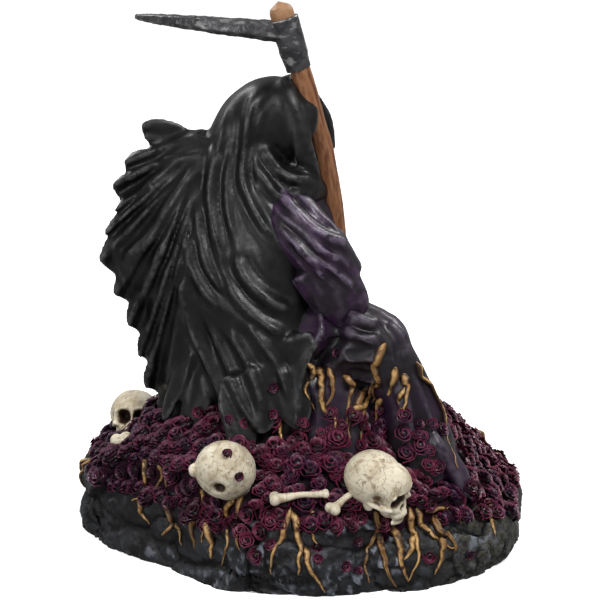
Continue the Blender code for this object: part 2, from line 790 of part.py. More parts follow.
def climbing_root_shapes(ground):
    shapes = []
    for line in CLIMBING_ROOTS:
        path = []
        for y, z in smooth_rows(line, 3):
            place, normal, _, _ = ground.ray_cast(at(-90, y, z), Vector((1, 0, 0)))
            if place is not None:
                path.append(place + normal * ROOT_DIAMETER * 0.2)
        thick = ROOT_DIAMETER / 2
        widths = [thick * (0.6 + 0.5 * k / len(path)) for k in range(len(path))]
        shapes.append(limb(path, widths, sides=7, steps=1))
    return shapes


# Buds on the cloak and on the rock, near side, as (y, z)
BUDS = (
    (11, 77), (11, 67), (29, 64), (23, 58), (42, 61), (-15, 91), (-7, 21), (-23, 22), (-18, 13), (-23, 10),
    (-52, 15), (-68, 13), (-73, 27),
)


def bud_shapes(ground):
    shapes = []
    for y, z in BUDS:
        place, _, _, _ = ground.ray_cast(at(-100, y, z), Vector((1, 0, 0)))
        if place is not None:
            shapes.append(ball(place, [BUD_DIAMETER / 2] * 3, sides=8, rows=6))
    return shapes


# Scythe

SHAFT_AXIS = (
    (-3, -26, 57), (-4.5, -21, 86), (-5.5, -17.2, 112), (-6, -14.9, 132), (-6, -13.2, 146), (-6, -11, 159),
    (-6, -9, 169), (-6, -4.9, 183.6), (-6, 0.8, 203.4), (-6, 4, 212.3), (-6, 7, 222.2),
)


def shaft_line():
    """The shaft's axis from its foot, sunk in the base, to just under its blunt end."""
    places = [at(*place) for place in SHAFT_AXIS]
    places[0].z = mound_height(places[0].x, places[0].y) - FOOT_DEPTH
    return places


def shaft_shape(grow=0.0):
    line = shaft_line()
    return limb(line, [SHAFT_DIAMETER / 2 + grow] * len(line), steps=2, point=0.8)


def scythe_head_shapes():
    """The iron socket round the shaft's top, the shaft's blunt end above it, and the blade."""
    line = shaft_line()
    run = (line[-1] - line[-2]).normalized()
    top = line[-1] - run * KNOB_STANDS_OUT * 0.2
    foot = top - run * SOCKET_LENGTH
    shaft = SHAFT_DIAMETER / 2
    girths = [shaft + SOCKET_FOOT_WALL, shaft + SOCKET_TOP_WALL * 0.8, shaft + SOCKET_TOP_WALL]
    socket = limb([foot, foot.lerp(top, 0.5), top], girths, steps=3, point=0.05)
    knob = shaft + KNOB_SWELL / 2
    blunt_end = limb([top, top + run * KNOB_STANDS_OUT], [knob, knob * 0.86])
    return [socket, blunt_end, blade_shape(foot.lerp(top, 0.72))]


def blade_shape(root):
    """A sickle blade that sweeps back from the socket and curls to the far side: thick spine, thin edge."""
    tilt = math.radians(BLADE_TILT)
    across = Vector((math.cos(tilt), 0, -math.sin(tilt)))
    rings = []
    steps = 22
    place = root.copy()
    heading = Vector((0, 1, 0.1)).normalized()
    for k in range(steps + 1):
        share = k / steps
        bend = math.radians(4 + 105 * share**1.6)
        run = heading * math.cos(bend) + across * math.sin(bend)
        inward = -heading * math.sin(bend) + across * math.cos(bend)
        flat = run.cross(inward).normalized()
        spine = (BLADE_ROOT_SPINE + (BLADE_END_SPINE - BLADE_ROOT_SPINE) * min(1, share / 0.75)) / 2
        width = BLADE_WIDTH * (1 - 0.25 * share)
        tip = math.sqrt(max(0.02, 1 - share**4))
        spine, width, edge = spine * tip, width * tip, BLADE_EDGE / 2 * tip
        # Across the blade, from its back to its edge: how far in, and half how thick
        profile = ((-0.35, spine * 0.6), (-0.18, spine), (0.2, spine * 0.7), (0.65, edge))
        upper = [place + inward * reach * width + flat * half for reach, half in profile]
        lower = [place + inward * reach * width - flat * half for reach, half in profile]
        ring = upper + lower[::-1]
        rings.append(ring[::-1])
        last = place.copy()
        place = place + run * BLADE_LENGTH / steps
    return capped(rings, root - heading * BLADE_EDGE, last + run * BLADE_EDGE / 2)


def hand_shapes():
    """Bony hands closed round the shaft: a palm, and four fingers and a thumb curled about it."""
    shapes = []
    line = smooth_rows(shaft_line(), 4)
    for height, side in ((112, 1), (99, -1)):
        level = at(0, 0, height).z
        axis = Vector([float(np.interp(level, line[:, 2], line[:, column])) for column in range(3)])
        grip = SHAFT_DIAMETER / 2 + 1.6 * UNIT
        shapes.append(limb([axis + Vector((side * 14, 3, 4)) * UNIT, axis + Vector((side * 6, 1, 1)) * UNIT],
                           lengths(5, 5), lengths(5, 5), sides=10))
        for finger in range(4):
            lift = (finger - 1.5) * 3.1 * UNIT
            path = []
            for k in range(6):
                turn = math.radians(-40 - k * 44)
                path.append(axis + Vector((side * grip * math.cos(turn), grip * math.sin(turn), lift)))
            shapes.append(limb(path, lengths(1.7, 1.9, 1.6, 1.8, 1.5, 1.3), sides=7, steps=2))
    return shapes


# Materials and assembly


def paint(name, colour, roughness, metallic=0.0):
    material = bpy.data.materials.new(name)
    material.use_nodes = True
    shader = material.node_tree.nodes["Principled BSDF"]
    shader.inputs["Base Color"].default_value = (*colour, 1)
    shader.inputs["Roughness"].default_value = roughness
    shader.inputs["Metallic"].default_value = metallic
    return material


def largest_skin(item):
    """Keeps the outer skin and drops any sealed bubble inside the casting."""
    shape = bmesh.new()
    shape.from_mesh(item.data)
    unseen = set(shape.verts)
    islands = []
    while unseen:
        queue = [unseen.pop()]
        island = set(queue)
        while queue:
            for edge in queue.pop().link_edges:
                for vert in edge.verts:
                    if vert in unseen:
                        unseen.discard(vert)
                        island.add(vert)
                        queue.append(vert)
        islands.append(island)
    islands.sort(key=len)
    for island in islands[:-1]:
        bmesh.ops.delete(shape, geom=list(island), context="VERTS")
    shape.to_mesh(item.data)
    shape.free()


def thin_out(item, triangles):
    """Fewer, larger faces where the shape is plain."""
    item.data.calc_loop_triangles()
    thin = item.modifiers.new("fewer faces", "DECIMATE")
    thin.ratio = triangles / len(item.data.loop_triangles)
    thin.use_collapse_triangulate = True
    settle(item)


def flatten_underside(item):
    shape = bmesh.new()
    shape.from_mesh(item.data)
    everything = shape.verts[:] + shape.edges[:] + shape.faces[:]
    bmesh.ops.bisect_plane(shape, geom=everything, plane_co=(0, 0, 0), plane_no=(0, 0, -1), clear_outer=True)
    open_edges = [edge for edge in shape.edges if edge.is_boundary]
    bmesh.ops.holes_fill(shape, edges=open_edges, sides=0)
    bmesh.ops.triangulate(shape, faces=[face for face in shape.faces if len(face.verts) > 4])
    bmesh.ops.recalc_face_normals(shape, faces=shape.faces[:])
    shape.to_mesh(item.data)
    shape.free()


def make_casting():
    rock = fuse(new_object("rock", rock_shapes() + mound_shapes()), CLAY_GRAIN, 3)
    roughen_rock(rock)
    fit_to_base(rock)
    cloth = cloak_shapes() + tatter_shapes() + hood_shapes() + robe_shapes() + sleeve_shapes()
    figure = fuse(new_object("figure", cloth), CLAY_GRAIN, 2)
    pleat_fan(figure)
    carve_folds(figure)
    hollow_hood(figure)
    body = fuse(new_object("body", taken(rock) + taken(figure)), CLAY_GRAIN)
    ground = tree_of(body)
    dressing = skull_shapes() + bone_shapes() + rose_shapes(ground) + root_shapes(ground)
    dressing += climbing_root_shapes(ground) + bud_shapes(ground) + face_shapes() + hand_shapes()
    casting = fuse(new_object("reaper_on_rock_base", taken(body) + dressing), CASTING_GRAIN, 1)
    dent_skulls(casting)
    largest_skin(casting)
    thin_out(casting, CASTING_TRIANGLES)
    flatten_underside(casting)
    cut_away(casting, "room for the shaft", shaft_shape(GLUE_GAP))
    largest_skin(casting)
    casting.data.materials.clear()
    casting.data.materials.append(paint("painted resin", (0.018, 0.017, 0.02), 0.42))


def make_scythe():
    scythe = fuse(new_object("scythe", scythe_head_shapes()), HEAD_GRAIN, 1)
    thin_out(scythe, HEAD_TRIANGLES)
    shaft = new_object("shaft", [shaft_shape()])
    join = scythe.modifiers.new("shaft", "BOOLEAN")
    join.object = shaft
    join.operation = "UNION"
    settle(scythe)
    bpy.data.objects.remove(shaft)
    scythe.data.materials.clear()
    scythe.data.materials.append(paint("painted wood", (0.21, 0.075, 0.035), 0.5))


for old in list(bpy.data.objects):
    bpy.data.objects.remove(old)
make_casting()
make_scythe()
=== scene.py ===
import math
import random

import bmesh
import bpy
import numpy as np
from mathutils import Euler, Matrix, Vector, noise
from mathutils.bvhtree import BVHTree


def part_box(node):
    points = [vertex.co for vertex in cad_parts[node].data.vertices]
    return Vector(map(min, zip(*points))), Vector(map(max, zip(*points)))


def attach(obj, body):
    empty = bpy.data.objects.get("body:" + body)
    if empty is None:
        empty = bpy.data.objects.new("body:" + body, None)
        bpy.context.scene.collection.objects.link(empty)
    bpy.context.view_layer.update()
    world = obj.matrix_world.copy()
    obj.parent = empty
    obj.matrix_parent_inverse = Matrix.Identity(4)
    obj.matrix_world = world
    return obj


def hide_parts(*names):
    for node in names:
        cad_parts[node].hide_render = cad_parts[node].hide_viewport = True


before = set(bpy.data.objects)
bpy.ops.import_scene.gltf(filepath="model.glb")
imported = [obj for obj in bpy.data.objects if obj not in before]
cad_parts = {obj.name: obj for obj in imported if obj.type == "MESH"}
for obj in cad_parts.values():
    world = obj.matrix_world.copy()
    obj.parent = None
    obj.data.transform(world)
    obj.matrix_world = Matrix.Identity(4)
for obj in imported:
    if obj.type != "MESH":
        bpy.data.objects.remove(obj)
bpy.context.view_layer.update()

# The stage: a pale studio sweep, four large soft lamps and a camera at the photograph's angle, which looks at
# the figurine's right side from a little above.

TARGET = Vector((0.0, 0.0, 0.101))
CAMERA_DISTANCE = 0.9
CAMERA_RISE = math.radians(17)
LENS = 128.36


def look_at(thing, place, target):
    thing.location = place
    thing.rotation_euler = (place - target).to_track_quat("Z", "Y").to_euler()


def soft_lamp(name, place, size, power, colour=(1, 1, 1)):
    lamp = bpy.data.lights.new(name, "AREA")
    lamp.shape = "DISK"
    lamp.size = size
    lamp.energy = power
    lamp.color = colour
    thing = bpy.data.objects.new(name, lamp)
    bpy.context.scene.collection.objects.link(thing)
    look_at(thing, Vector(place), TARGET)


camera = bpy.data.objects.new("camera", bpy.data.cameras.new("camera"))
camera.data.lens = LENS
camera.data.sensor_width = 36
camera.data.clip_start = 0.01
bpy.context.scene.collection.objects.link(camera)
look_at(camera, TARGET + CAMERA_DISTANCE * Vector((-math.cos(CAMERA_RISE), 0, math.sin(CAMERA_RISE))), TARGET)
bpy.context.scene.camera = camera

soft_lamp("key lamp", (-0.6, -0.35, 1.0), 0.4, 9.0)
soft_lamp("fill lamp", (-0.85, 0.7, 0.45), 0.5, 4.0)
soft_lamp("rim lamp", (0.6, -0.6, 0.8), 0.5, 6.0)
soft_lamp("back lamp", (0.6, 0.7, 0.8), 0.5, 6.0)
world = bpy.data.worlds.new("studio")
world.use_nodes = True
world.node_tree.nodes["Background"].inputs["Color"].default_value = (1, 1, 1, 1)
world.node_tree.nodes["Background"].inputs["Strength"].default_value = 0.3
bpy.context.scene.world = world
bpy.context.scene.view_settings.view_transform = "Standard"


def sheet_mesh(name, points, faces):
    mesh = bpy.data.meshes.new(name)
    mesh.from_pydata([tuple(p) for p in points], [], faces)
    thing = bpy.data.objects.new(name, mesh)
    bpy.context.scene.collection.objects.link(thing)
    return thing


def stage_sheet(name, points, faces, colour, glow):
    """A floor or backdrop that lights nothing round it."""
    thing = sheet_mesh(name, points, faces)
    paint = bpy.data.materials.new(name)
    paint.use_nodes = True
    shader = paint.node_tree.nodes["Principled BSDF"]
    shader.inputs["Base Color"].default_value = (*colour, 1)
    shader.inputs["Roughness"].default_value = 0.9
    shader.inputs["Specular IOR Level"].default_value = 0.1
    shader.inputs["Emission Color"].default_value = (1, 1, 1, 1)
    shader.inputs["Emission Strength"].default_value = glow
    thing.data.materials.append(paint)
    thing.visible_glossy = False
    thing.visible_diffuse = False
    thing.visible_shadow = False


stage_sheet("floor", [(-4, -4, 0), (4, -4, 0), (4, 4, 0), (-4, 4, 0)], [(0, 1, 2, 3)], (0.8, 0.8, 0.8), 0.62)
walls = [(4, 4), (4, -4), (-4, -4), (-4, 4)]
wall_points = [(x, y, z) for z in (0, 4) for x, y in walls]
wall_faces = [(k, (k + 1) % 4, (k + 1) % 4 + 4, k + 4) for k in range(4)]
stage_sheet("backdrop", wall_points, wall_faces, (0, 0, 0), 1.0)

# The rock base: the foot of the main casting, modelled as blocks of split slate in one oblong boulder. It is
# cast in resin in one with the figure, painted dark and dry-brushed blue-grey on its edges; the blue-grey is
# also painted highlight on the ridges, and the cracks are darkened with painted shade.

casting_low, casting_high = (Vector(corner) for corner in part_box("reaper_on_rock_base"))
BASE_DEPTH = (casting_high.x - casting_low.x) * 0.998
BASE_LENGTH = (casting_high.y - casting_low.y) * 0.998
RIM_HEIGHT = 0.034
MOUND_RISE = 0.029
FRONT_RIM_DROP = 0.014
BASE_SQUARENESS = 2.35
CORNER_REACH = 1.22
RIM_PARTS = 34
FIGURE_HEIGHT = 0.164
FIGURE_PARTS = 164
UNIT = FIGURE_HEIGHT / FIGURE_PARTS
OUTSIDE = 110
UP = Vector((0.0, 0.0, 1.0))


def at(x, y, z):
    """A place on the figure, in parts of its height. The rim of the base is 34 parts up."""
    return Vector((x * UNIT, y * UNIT, RIM_HEIGHT + (z - RIM_PARTS) * UNIT))


def lengths(*values):
    return [value * UNIT for value in values]


def ease(value, low, high):
    share = np.clip((value - low) / (high - low), 0, 1)
    return share * share * (3 - 2 * share)


def capped(rings, low, high):
    """A closed shape from rings of equal count, drawn to a point at each end."""
    rings = [np.asarray(ring, float) for ring in rings]
    sides = len(rings[0])
    points = np.vstack([*rings, [low], [high]])
    faces = []
    for row in range(len(rings) - 1):
        for side in range(sides):
            a, b = row * sides + side, row * sides + (side + 1) % sides
            faces.append((a, b, b + sides, a + sides))
    last = (len(rings) - 1) * sides
    for side in range(sides):
        after = (side + 1) % sides
        faces.append((len(points) - 2, after, side))
        faces.append((len(points) - 1, last + side, last + after))
    return points, faces


def joined(name, shapes):
    """One object of all the shapes."""
    points, faces, count = [], [], 0
    for shape_points, shape_faces in shapes:
        points.extend(map(tuple, shape_points))
        faces.extend(tuple(corner + count for corner in face) for face in shape_faces)
        count += len(shape_points)
    thing = sheet_mesh(name, points, faces)
    thing.data.validate()
    return thing


def settled(thing):
    """Applies the object's modifiers to its mesh."""
    bpy.context.view_layer.update()
    graph = bpy.context.evaluated_depsgraph_get()
    mesh = bpy.data.meshes.new_from_object(thing.evaluated_get(graph))
    thing.modifiers.clear()
    thing.data = mesh
    return thing


def one_skin(thing, grain, smoothing=0):
    """Makes overlapping shapes one skin and softens it."""
    remesh = thing.modifiers.new("one skin", "REMESH")
    remesh.mode = "VOXEL"
    remesh.voxel_size = grain
    if smoothing:
        soften = thing.modifiers.new("softened", "SMOOTH")
        soften.factor = 0.5
        soften.iterations = smoothing
    return settled(thing)


def points_of(thing):
    mesh = thing.data
    points, normals = np.empty(len(mesh.vertices) * 3), np.empty(len(mesh.vertices) * 3)
    mesh.vertices.foreach_get("co", points)
    mesh.vertex_normals.foreach_get("vector", normals)
    return points.reshape(-1, 3), normals.reshape(-1, 3)


def put_points(thing, points):
    thing.data.vertices.foreach_set("co", np.ascontiguousarray(points, float).ravel())
    thing.data.update()


def eased_points(mesh, points, rounds):
    """The points after some rounds of each moving halfway to the middle of its neighbours."""
    edges = np.empty(len(mesh.edges) * 2, int)
    mesh.edges.foreach_get("vertices", edges)
    a, b = edges.reshape(-1, 2).T
    ends, others = np.concatenate([a, b]), np.concatenate([b, a])
    count = np.maximum(np.bincount(ends, minlength=len(points)), 1)
    for _ in range(rounds):
        middle = [np.bincount(ends, points[others, axis], len(points)) / count for axis in range(3)]
        points = (points + np.stack(middle, 1)) / 2
    return points


def mark_relief(thing, rounds, reach):
    """Stores on each point how far it stands out of the form round it, 1, or lies in a hollow, 0."""
    points, normals = points_of(thing)
    rise = ((points - eased_points(thing.data, points, rounds)) * normals).sum(1)
    values = np.clip(0.5 + 0.5 * rise / reach, 0, 1)
    layer = thing.data.attributes.new("relief", "FLOAT", "POINT")
    layer.data.foreach_set("value", values.astype(np.float32))


def add_node(material, kind, **settings):
    node = material.node_tree.nodes.new(kind)
    for name, value in settings.items():
        setattr(node, name, value)
    return node


def new_paint(name, colour, roughness=0.5, specular=0.5, metallic=0.0):
    """A base coat of resin paint. Further coats go over it with coat()."""
    material = bpy.data.materials.new(name)
    material.use_nodes = True
    shader = material.node_tree.nodes["Principled BSDF"]
    shader.inputs["Base Color"].default_value = (*colour, 1)
    shader.inputs["Roughness"].default_value = roughness
    shader.inputs["Specular IOR Level"].default_value = specular
    shader.inputs["Metallic"].default_value = metallic
    return material


def ramp(material, value, low, high, out_low=0.0, out_high=1.0):
    """A mask that rises from out_low to out_high as the value goes from low to high."""
    node = add_node(material, "ShaderNodeMapRange", interpolation_type="SMOOTHSTEP")
    material.node_tree.links.new(value, node.inputs["Value"])
    for socket, number in (("From Min", low), ("From Max", high), ("To Min", out_low), ("To Max", out_high)):
        node.inputs[socket].default_value = number
    return node.outputs["Result"]


def relief_mask(material, low, high):
    node = add_node(material, "ShaderNodeAttribute", attribute_name="relief")
    return ramp(material, node.outputs["Fac"], low, high)


def pattern_place(material, size, stretch=(1, 1, 1), attribute=None):
    """Where a pattern of the given grain size is read: the object's own metres, or a stored vector."""
    if attribute:
        source = add_node(material, "ShaderNodeAttribute", attribute_name=attribute).outputs["Vector"]
    else:
        source = add_node(material, "ShaderNodeTexCoord").outputs["Object"]
    mapping = add_node(material, "ShaderNodeMapping")
    mapping.inputs["Scale"].default_value = [axis / size for axis in stretch]
    material.node_tree.links.new(source, mapping.inputs["Vector"])
    return mapping.outputs["Vector"]


def grain(material, size, detail=3.0, stretch=(1, 1, 1), attribute=None, twist=0.0):
    node = add_node(material, "ShaderNodeTexNoise")
    node.inputs["Scale"].default_value = 1.0
    node.inputs["Detail"].default_value = detail
    node.inputs["Distortion"].default_value = twist
    material.node_tree.links.new(pattern_place(material, size, stretch, attribute), node.inputs["Vector"])
    return node.outputs["Fac"]


def along_base(material):
    """How far along the base a point lies, from its front end, negative, to its rear."""
    source = add_node(material, "ShaderNodeTexCoord").outputs["Object"]
    apart = add_node(material, "ShaderNodeSeparateXYZ")
    material.node_tree.links.new(source, apart.inputs["Vector"])
    return apart.outputs["Y"]


def combine(material, operation, first, second):
    node = add_node(material, "ShaderNodeMath", operation=operation)
    for socket, value in zip(node.inputs, (first, second)):
        if isinstance(value, float):
            socket.default_value = value
        else:
            material.node_tree.links.new(value, socket)
    return node.outputs["Value"]


def coat(material, colour, mask):
    """A coat of another colour over what is there, as thick as the mask says."""
    target = material.node_tree.nodes["Principled BSDF"].inputs["Base Color"]
    mix = add_node(material, "ShaderNodeMix", data_type="RGBA")
    under, over = (socket for socket in mix.inputs if socket.type == "RGBA")
    if target.is_linked:
        material.node_tree.links.new(target.links[0].from_socket, under)
    else:
        under.default_value = target.default_value
    over.default_value = (*colour, 1)
    material.node_tree.links.new(mask, mix.inputs["Factor"])
    result = next(socket for socket in mix.outputs if socket.type == "RGBA")
    material.node_tree.links.new(result, target)


def patchy_coat(material, colour, size, low, high, most=1.0, **pattern):
    """A coat in patches of about the given size, where the grain's value is over low and full over high."""
    coat(material, colour, ramp(material, grain(material, size, **pattern), low, high, 0, most))


def relief_coat(material, colour, low, high):
    """A coat on the places that stand out, or in the hollows where low is over high."""
    coat(material, colour, relief_mask(material, low, high))


def dry_brush_and_highlight(material, colour, low, high, size, detail, patch_low, patch_high, least=0.0):
    """A coat that stays on raised places, from low to high in relief, and only in patches: dry-brushed paint
    and painted highlight both.
    """
    patches = ramp(material, grain(material, size, detail), patch_low, patch_high, least, 1)
    coat(material, colour, combine(material, "MULTIPLY", relief_mask(material, low, high), patches))


def set_gloss(material, size, low, high):
    """Roughness from low to high, in patches of the given size."""
    shader = material.node_tree.nodes["Principled BSDF"]
    rough = ramp(material, grain(material, size), 0.3, 0.7, low, high)
    material.node_tree.links.new(rough, shader.inputs["Roughness"])


def tooth(material, size, height, strength=0.6, **pattern):
    """Fine surface texture as bump."""
    bump = add_node(material, "ShaderNodeBump")
    bump.inputs["Distance"].default_value = height
    bump.inputs["Strength"].default_value = strength
    material.node_tree.links.new(grain(material, size, **pattern), bump.inputs["Height"])
    shader = material.node_tree.nodes["Principled BSDF"]
    material.node_tree.links.new(bump.outputs["Normal"], shader.inputs["Normal"])


def finished(thing, material, node="reaper_on_rock_base"):
    """Paints the piece and fixes it to the casting that it is part of."""
    thing.data.materials.clear()
    thing.data.materials.append(material)
    thing.data.shade_smooth()
    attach(thing, "root")
    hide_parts(node)
    return thing


def rock_outline(turn, share=1.0):
    """A point of the rounded oblong outline, its near rear corner split off, at a share of its size."""
    bend = 2 / BASE_SQUARENESS
    c, s = math.cos(turn), math.sin(turn)
    x = math.copysign(abs(c) ** bend, c)
    y = math.copysign(abs(s) ** bend, s)
    share *= CORNER_REACH / max(CORNER_REACH, y - x)
    return x * share * BASE_DEPTH / 2, y * share * BASE_LENGTH / 2


def rim_height(y):
    """The rim's height, which falls away at the base's front end."""
    return RIM_HEIGHT - FRONT_RIM_DROP * float(ease(-y / BASE_LENGTH, 0.3, 0.48))


# The rock's side from the table up: share of the rim's height, share of the full outline
ROCK_STEPS = (
    (-0.12, 0.975), (0.0, 0.985), (0.3, 1.0), (0.62, 0.995), (0.85, 0.955), (0.98, 0.89), (1.04, 0.8),
)
ROCK_TURNS = 96
BOULDER = 0.031
BOULDER_HEIGHT = 0.0052
CHIP = 0.012
CHIP_HEIGHT = 0.0013
ROCK_GRAIN = 0.00115
ROCK_SEED = 5


def rock_rings():
    rings = []
    for height, share in ROCK_STEPS:
        ring = []
        for k in range(ROCK_TURNS):
            x, y = rock_outline(2 * math.pi * k / ROCK_TURNS, share)
            ring.append((x, y, height * rim_height(y)))
        rings.append(ring)
    return rings


def boulder(place, size):
    """How far a point of the rock stands out: round-backed blocks of uneven height with a groove between."""
    gaps, middles = noise.voronoi(place / size)
    lift = noise.cell(Vector(middles[0]) * 7.3 + Vector((0.5, 0.5, 0.5)))
    return 0.45 - 1.5 * gaps[0] ** 2 + 0.55 * (lift - 0.5)


def chisel_rock(thing):
    points, normals = points_of(thing)
    push = np.zeros(len(points))
    for i, point in enumerate(points):
        place = Vector((point[0], point[1], point[2] * 1.25))
        warped = place + 0.007 * noise.noise_vector(place / 0.03)
        push[i] = BOULDER_HEIGHT * boulder(warped, BOULDER) + CHIP_HEIGHT * boulder(warped, CHIP)
        push[i] += 0.0005 * noise.fractal(place / 0.004, 1.0, 2.0, 3)
    put_points(thing, points + normals * push[:, None])
    points, _ = points_of(thing)
    for axis, size in ((0, BASE_DEPTH), (1, BASE_LENGTH)):
        low, high = points[:, axis].min(), points[:, axis].max()
        points[:, axis] = (points[:, axis] - (low + high) / 2) * size / (high - low)
    put_points(thing, points)


def sawn_flat(thing):
    """Cuts away what is under the table and closes the foot."""
    body = bmesh.new()
    body.from_mesh(thing.data)
    parts = [*body.verts, *body.edges, *body.faces]
    bmesh.ops.bisect_plane(body, geom=parts, plane_co=(0, 0, 0), plane_no=(0, 0, -1), clear_outer=True)
    bmesh.ops.holes_fill(body, edges=[edge for edge in body.edges if edge.is_boundary])
    body.to_mesh(thing.data)
    body.free()


noise.seed_set(ROCK_SEED)
rock = joined("rock_base", [capped(rock_rings(), (0, 0, -0.004), (0, 0, RIM_HEIGHT * 1.05))])
one_skin(rock, ROCK_GRAIN, 5)
chisel_rock(rock)
sawn_flat(rock)
mark_relief(rock, 14, 0.0006)

slate = new_paint("slate paint", (0.008, 0.008, 0.009), 0.55, 0.3)
patchy_coat(slate, (0.029, 0.030, 0.034), 0.012, 0.42, 0.66, detail=5.0)
length_place = along_base(slate)
front_end = ramp(slate, length_place, -0.045, -0.075)
stipple = combine(slate, "MULTIPLY", front_end, ramp(slate, grain(slate, 0.0014, 3.0), 0.4, 0.56))
coat(slate, (0.058, 0.055, 0.040), combine(slate, "MULTIPLY", stipple, relief_mask(slate, 0.3, 0.6)))
# Blue-grey on the ridges, in streaks and patches and strongest along the middle of the base: dry-brushed
# paint and painted highlight both.
streaks = ramp(slate, grain(slate, 0.0042, 7.0, (1, 1, 0.55), twist=0.5), 0.44, 0.64)
from_middle = combine(slate, "ABSOLUTE", combine(slate, "ADD", length_place, 0.012), 0.0)
toward_middle = ramp(slate, from_middle, 0.075, 0.03, 0.45, 1)
patches = combine(slate, "MULTIPLY", ramp(slate, grain(slate, 0.016, 3.0), 0.44, 0.6, 0.12, 1), toward_middle)
brushed_ridges_and_highlight = combine(slate, "MULTIPLY", relief_mask(slate, 0.5, 0.85), streaks)
coat(slate, (0.23, 0.25, 0.30), combine(slate, "MULTIPLY", brushed_ridges_and_highlight, patches))
# Painted shade: nearly black in the cracks and hollows.
relief_coat(slate, (0.003, 0.003, 0.003), 0.42, 0.12)
set_gloss(slate, 0.003, 0.42, 0.7)
tooth(slate, 0.0026, 0.0009, 0.8, detail=8.0)
finished(rock, slate)

# The marks on the rim: a row of small raised strokes on the near side where makers sign such castings. They
# are no letters. They stand a little out of the same casting and are painted as it is.

def smooth_rows(rows, steps):
    """Rows of numbers carried smoothly through each given row, steps rows to each span."""
    rows = np.asarray(rows, float)
    padded = np.vstack([2 * rows[0] - rows[1], rows, 2 * rows[-1] - rows[-2]])
    out = []
    for i in range(1, len(padded) - 2):
        a, b, c, d = padded[i - 1 : i + 3]
        for k in range(steps):
            t = k / steps
            square, cube = 2 * a - 5 * b + 4 * c - d, 3 * b - 3 * c + d - a
            out.append(0.5 * (2 * b + (c - a) * t + square * t**2 + cube * t**3))
    return np.vstack([out, rows[-1:]])


def run_at(rows, i):
    """The way that a line of places runs at one of them."""
    return Vector(rows[min(i + 1, len(rows) - 1)][:3]) - Vector(rows[max(i - 1, 0)][:3])


def circle(sides):
    """The cosine and sine of each turn round a ring."""
    turns = (2 * math.pi * k / sides for k in range(sides))
    return [(math.cos(turn), math.sin(turn)) for turn in turns]


def limb(path, widths, depths=None, across=(1, 0, 0), sides=18, steps=5, point=0.6):
    """An ellipse carried along a smooth path: half its size across is in widths, the other way in depths."""
    depths = widths if depths is None else depths
    rows = smooth_rows([(*place, wide, deep) for place, wide, deep in zip(path, widths, depths)], steps)
    rings = []
    for i, row in enumerate(rows):
        along = run_at(rows, i).normalized()
        side = (Vector(across) - Vector(across).dot(along) * along).normalized()
        other = along.cross(side)
        rings.append([Vector(row[:3]) + side * row[3] * c + other * row[4] * s for c, s in circle(sides)])
    first, last = Vector(rows[0][:3]), Vector(rows[-1][:3])
    low = first + (first - Vector(rows[1][:3])).normalized() * min(rows[0][3:]) * point
    high = last + (last - Vector(rows[-2][:3])).normalized() * min(rows[-1][3:]) * point
    return capped(rings, low, high)


def seen_from_camera_side(tree, y, z):
    """The place that a level line from the near side meets first and its facing, or None twice."""
    place, normal, _, _ = tree.ray_cast(at(-OUTSIDE, y, z), Vector((1, 0, 0)))
    return place, normal


MARKS = 14
MARK_LENGTH = 0.0028
MARK_HALF_WIDTH = MARK_LENGTH * 0.12
MARK_ROW = (28, -3, 7.5)


def mark_shapes():
    """Short strokes of uneven tilt along a line on the rock's near side."""
    shapes = []
    draw = random.Random(2)
    side_of_rock = BVHTree.FromObject(rock, bpy.context.evaluated_depsgraph_get())
    start, end, level = MARK_ROW
    for k in range(MARKS):
        y = start + (end - start) * k / (MARKS - 1)
        tilt = draw.choice((-0.5, -0.2, 0.1, 0.35, 0.6))
        half = MARK_LENGTH / UNIT / 2 * draw.uniform(0.7, 1.1)
        ends = ((y - half * math.sin(tilt), level - half), (y + half * math.sin(tilt), level + half))
        path = []
        for y_end, z_end in ends:
            place, normal = seen_from_camera_side(side_of_rock, y_end, z_end)
            if place is not None:
                path.append(place + normal * 0.0001)
        if len(path) == 2:
            shapes.append(limb(path, [MARK_HALF_WIDTH] * 2, sides=8, steps=3))
    return shapes


marks = joined("rim_marks", mark_shapes())
finished(marks, slate)

# The mound: the ground on top of the rock, which rises under the figure. It is part of the same casting,
# painted nearly black, and the roses and roots stand on it.

MOUND_ROWS = 56
MOUND_TURNS = 150
MOUND_SHARE = 0.88
MOUND_LUMP = 0.0011


def mound_height(x, y):
    """The ground of the base: level at the rim, rising under the figure."""
    reach = math.hypot(x / (BASE_DEPTH * 0.47), (y - BASE_LENGTH * 0.01) / (BASE_LENGTH * 0.46))
    return rim_height(y) + MOUND_RISE * (1 - float(ease(reach, 0.42, 1.0)))


def mound_shape():
    rings = []
    for row in range(MOUND_ROWS):
        share = MOUND_SHARE * (1 - row / MOUND_ROWS)
        ring = []
        for k in range(MOUND_TURNS):
            x, y = rock_outline(2 * math.pi * k / MOUND_TURNS, share)
            lump = MOUND_LUMP * noise.fractal(Vector((x, y, 0)) / 0.008, 1.0, 2.0, 3)
            ring.append((x, y, mound_height(x, y) + lump))
        rings.append(ring)
    floor_ring = [(x, y, RIM_HEIGHT * 0.4) for x, y, _ in rings[0]]
    return capped([floor_ring, *rings], (0, 0, RIM_HEIGHT * 0.4), (0, 0, mound_height(0, 0)))


mound = joined("mound", [mound_shape()])
mark_relief(mound, 6, 0.0006)
soil = new_paint("mound paint", (0.003, 0.002, 0.003), 0.85, 0.1)
coat(soil, (0.009, 0.003, 0.006), grain(soil, 0.006))
# Painted highlight: a little lighter on the tops of the lumps.
relief_coat(soil, (0.02, 0.006, 0.012), 0.8, 1.0)
set_gloss(soil, 0.003, 0.65, 0.9)
tooth(soil, 0.002, 0.0006, detail=5.0)
finished(mound, soil)

# The cloak and hood: the largest form of the casting, a torn cape that streams out behind in a fan and hangs
# in long folds. It is painted satin black, with its ridges brushed grey, which is painted highlight as well
# as dry-brushing, and painted shade in the furrows.

CLOTH_EDGE = 0.0018
PLEAT_HEIGHT = 0.0018
CLOAK_GRAIN = 0.0009

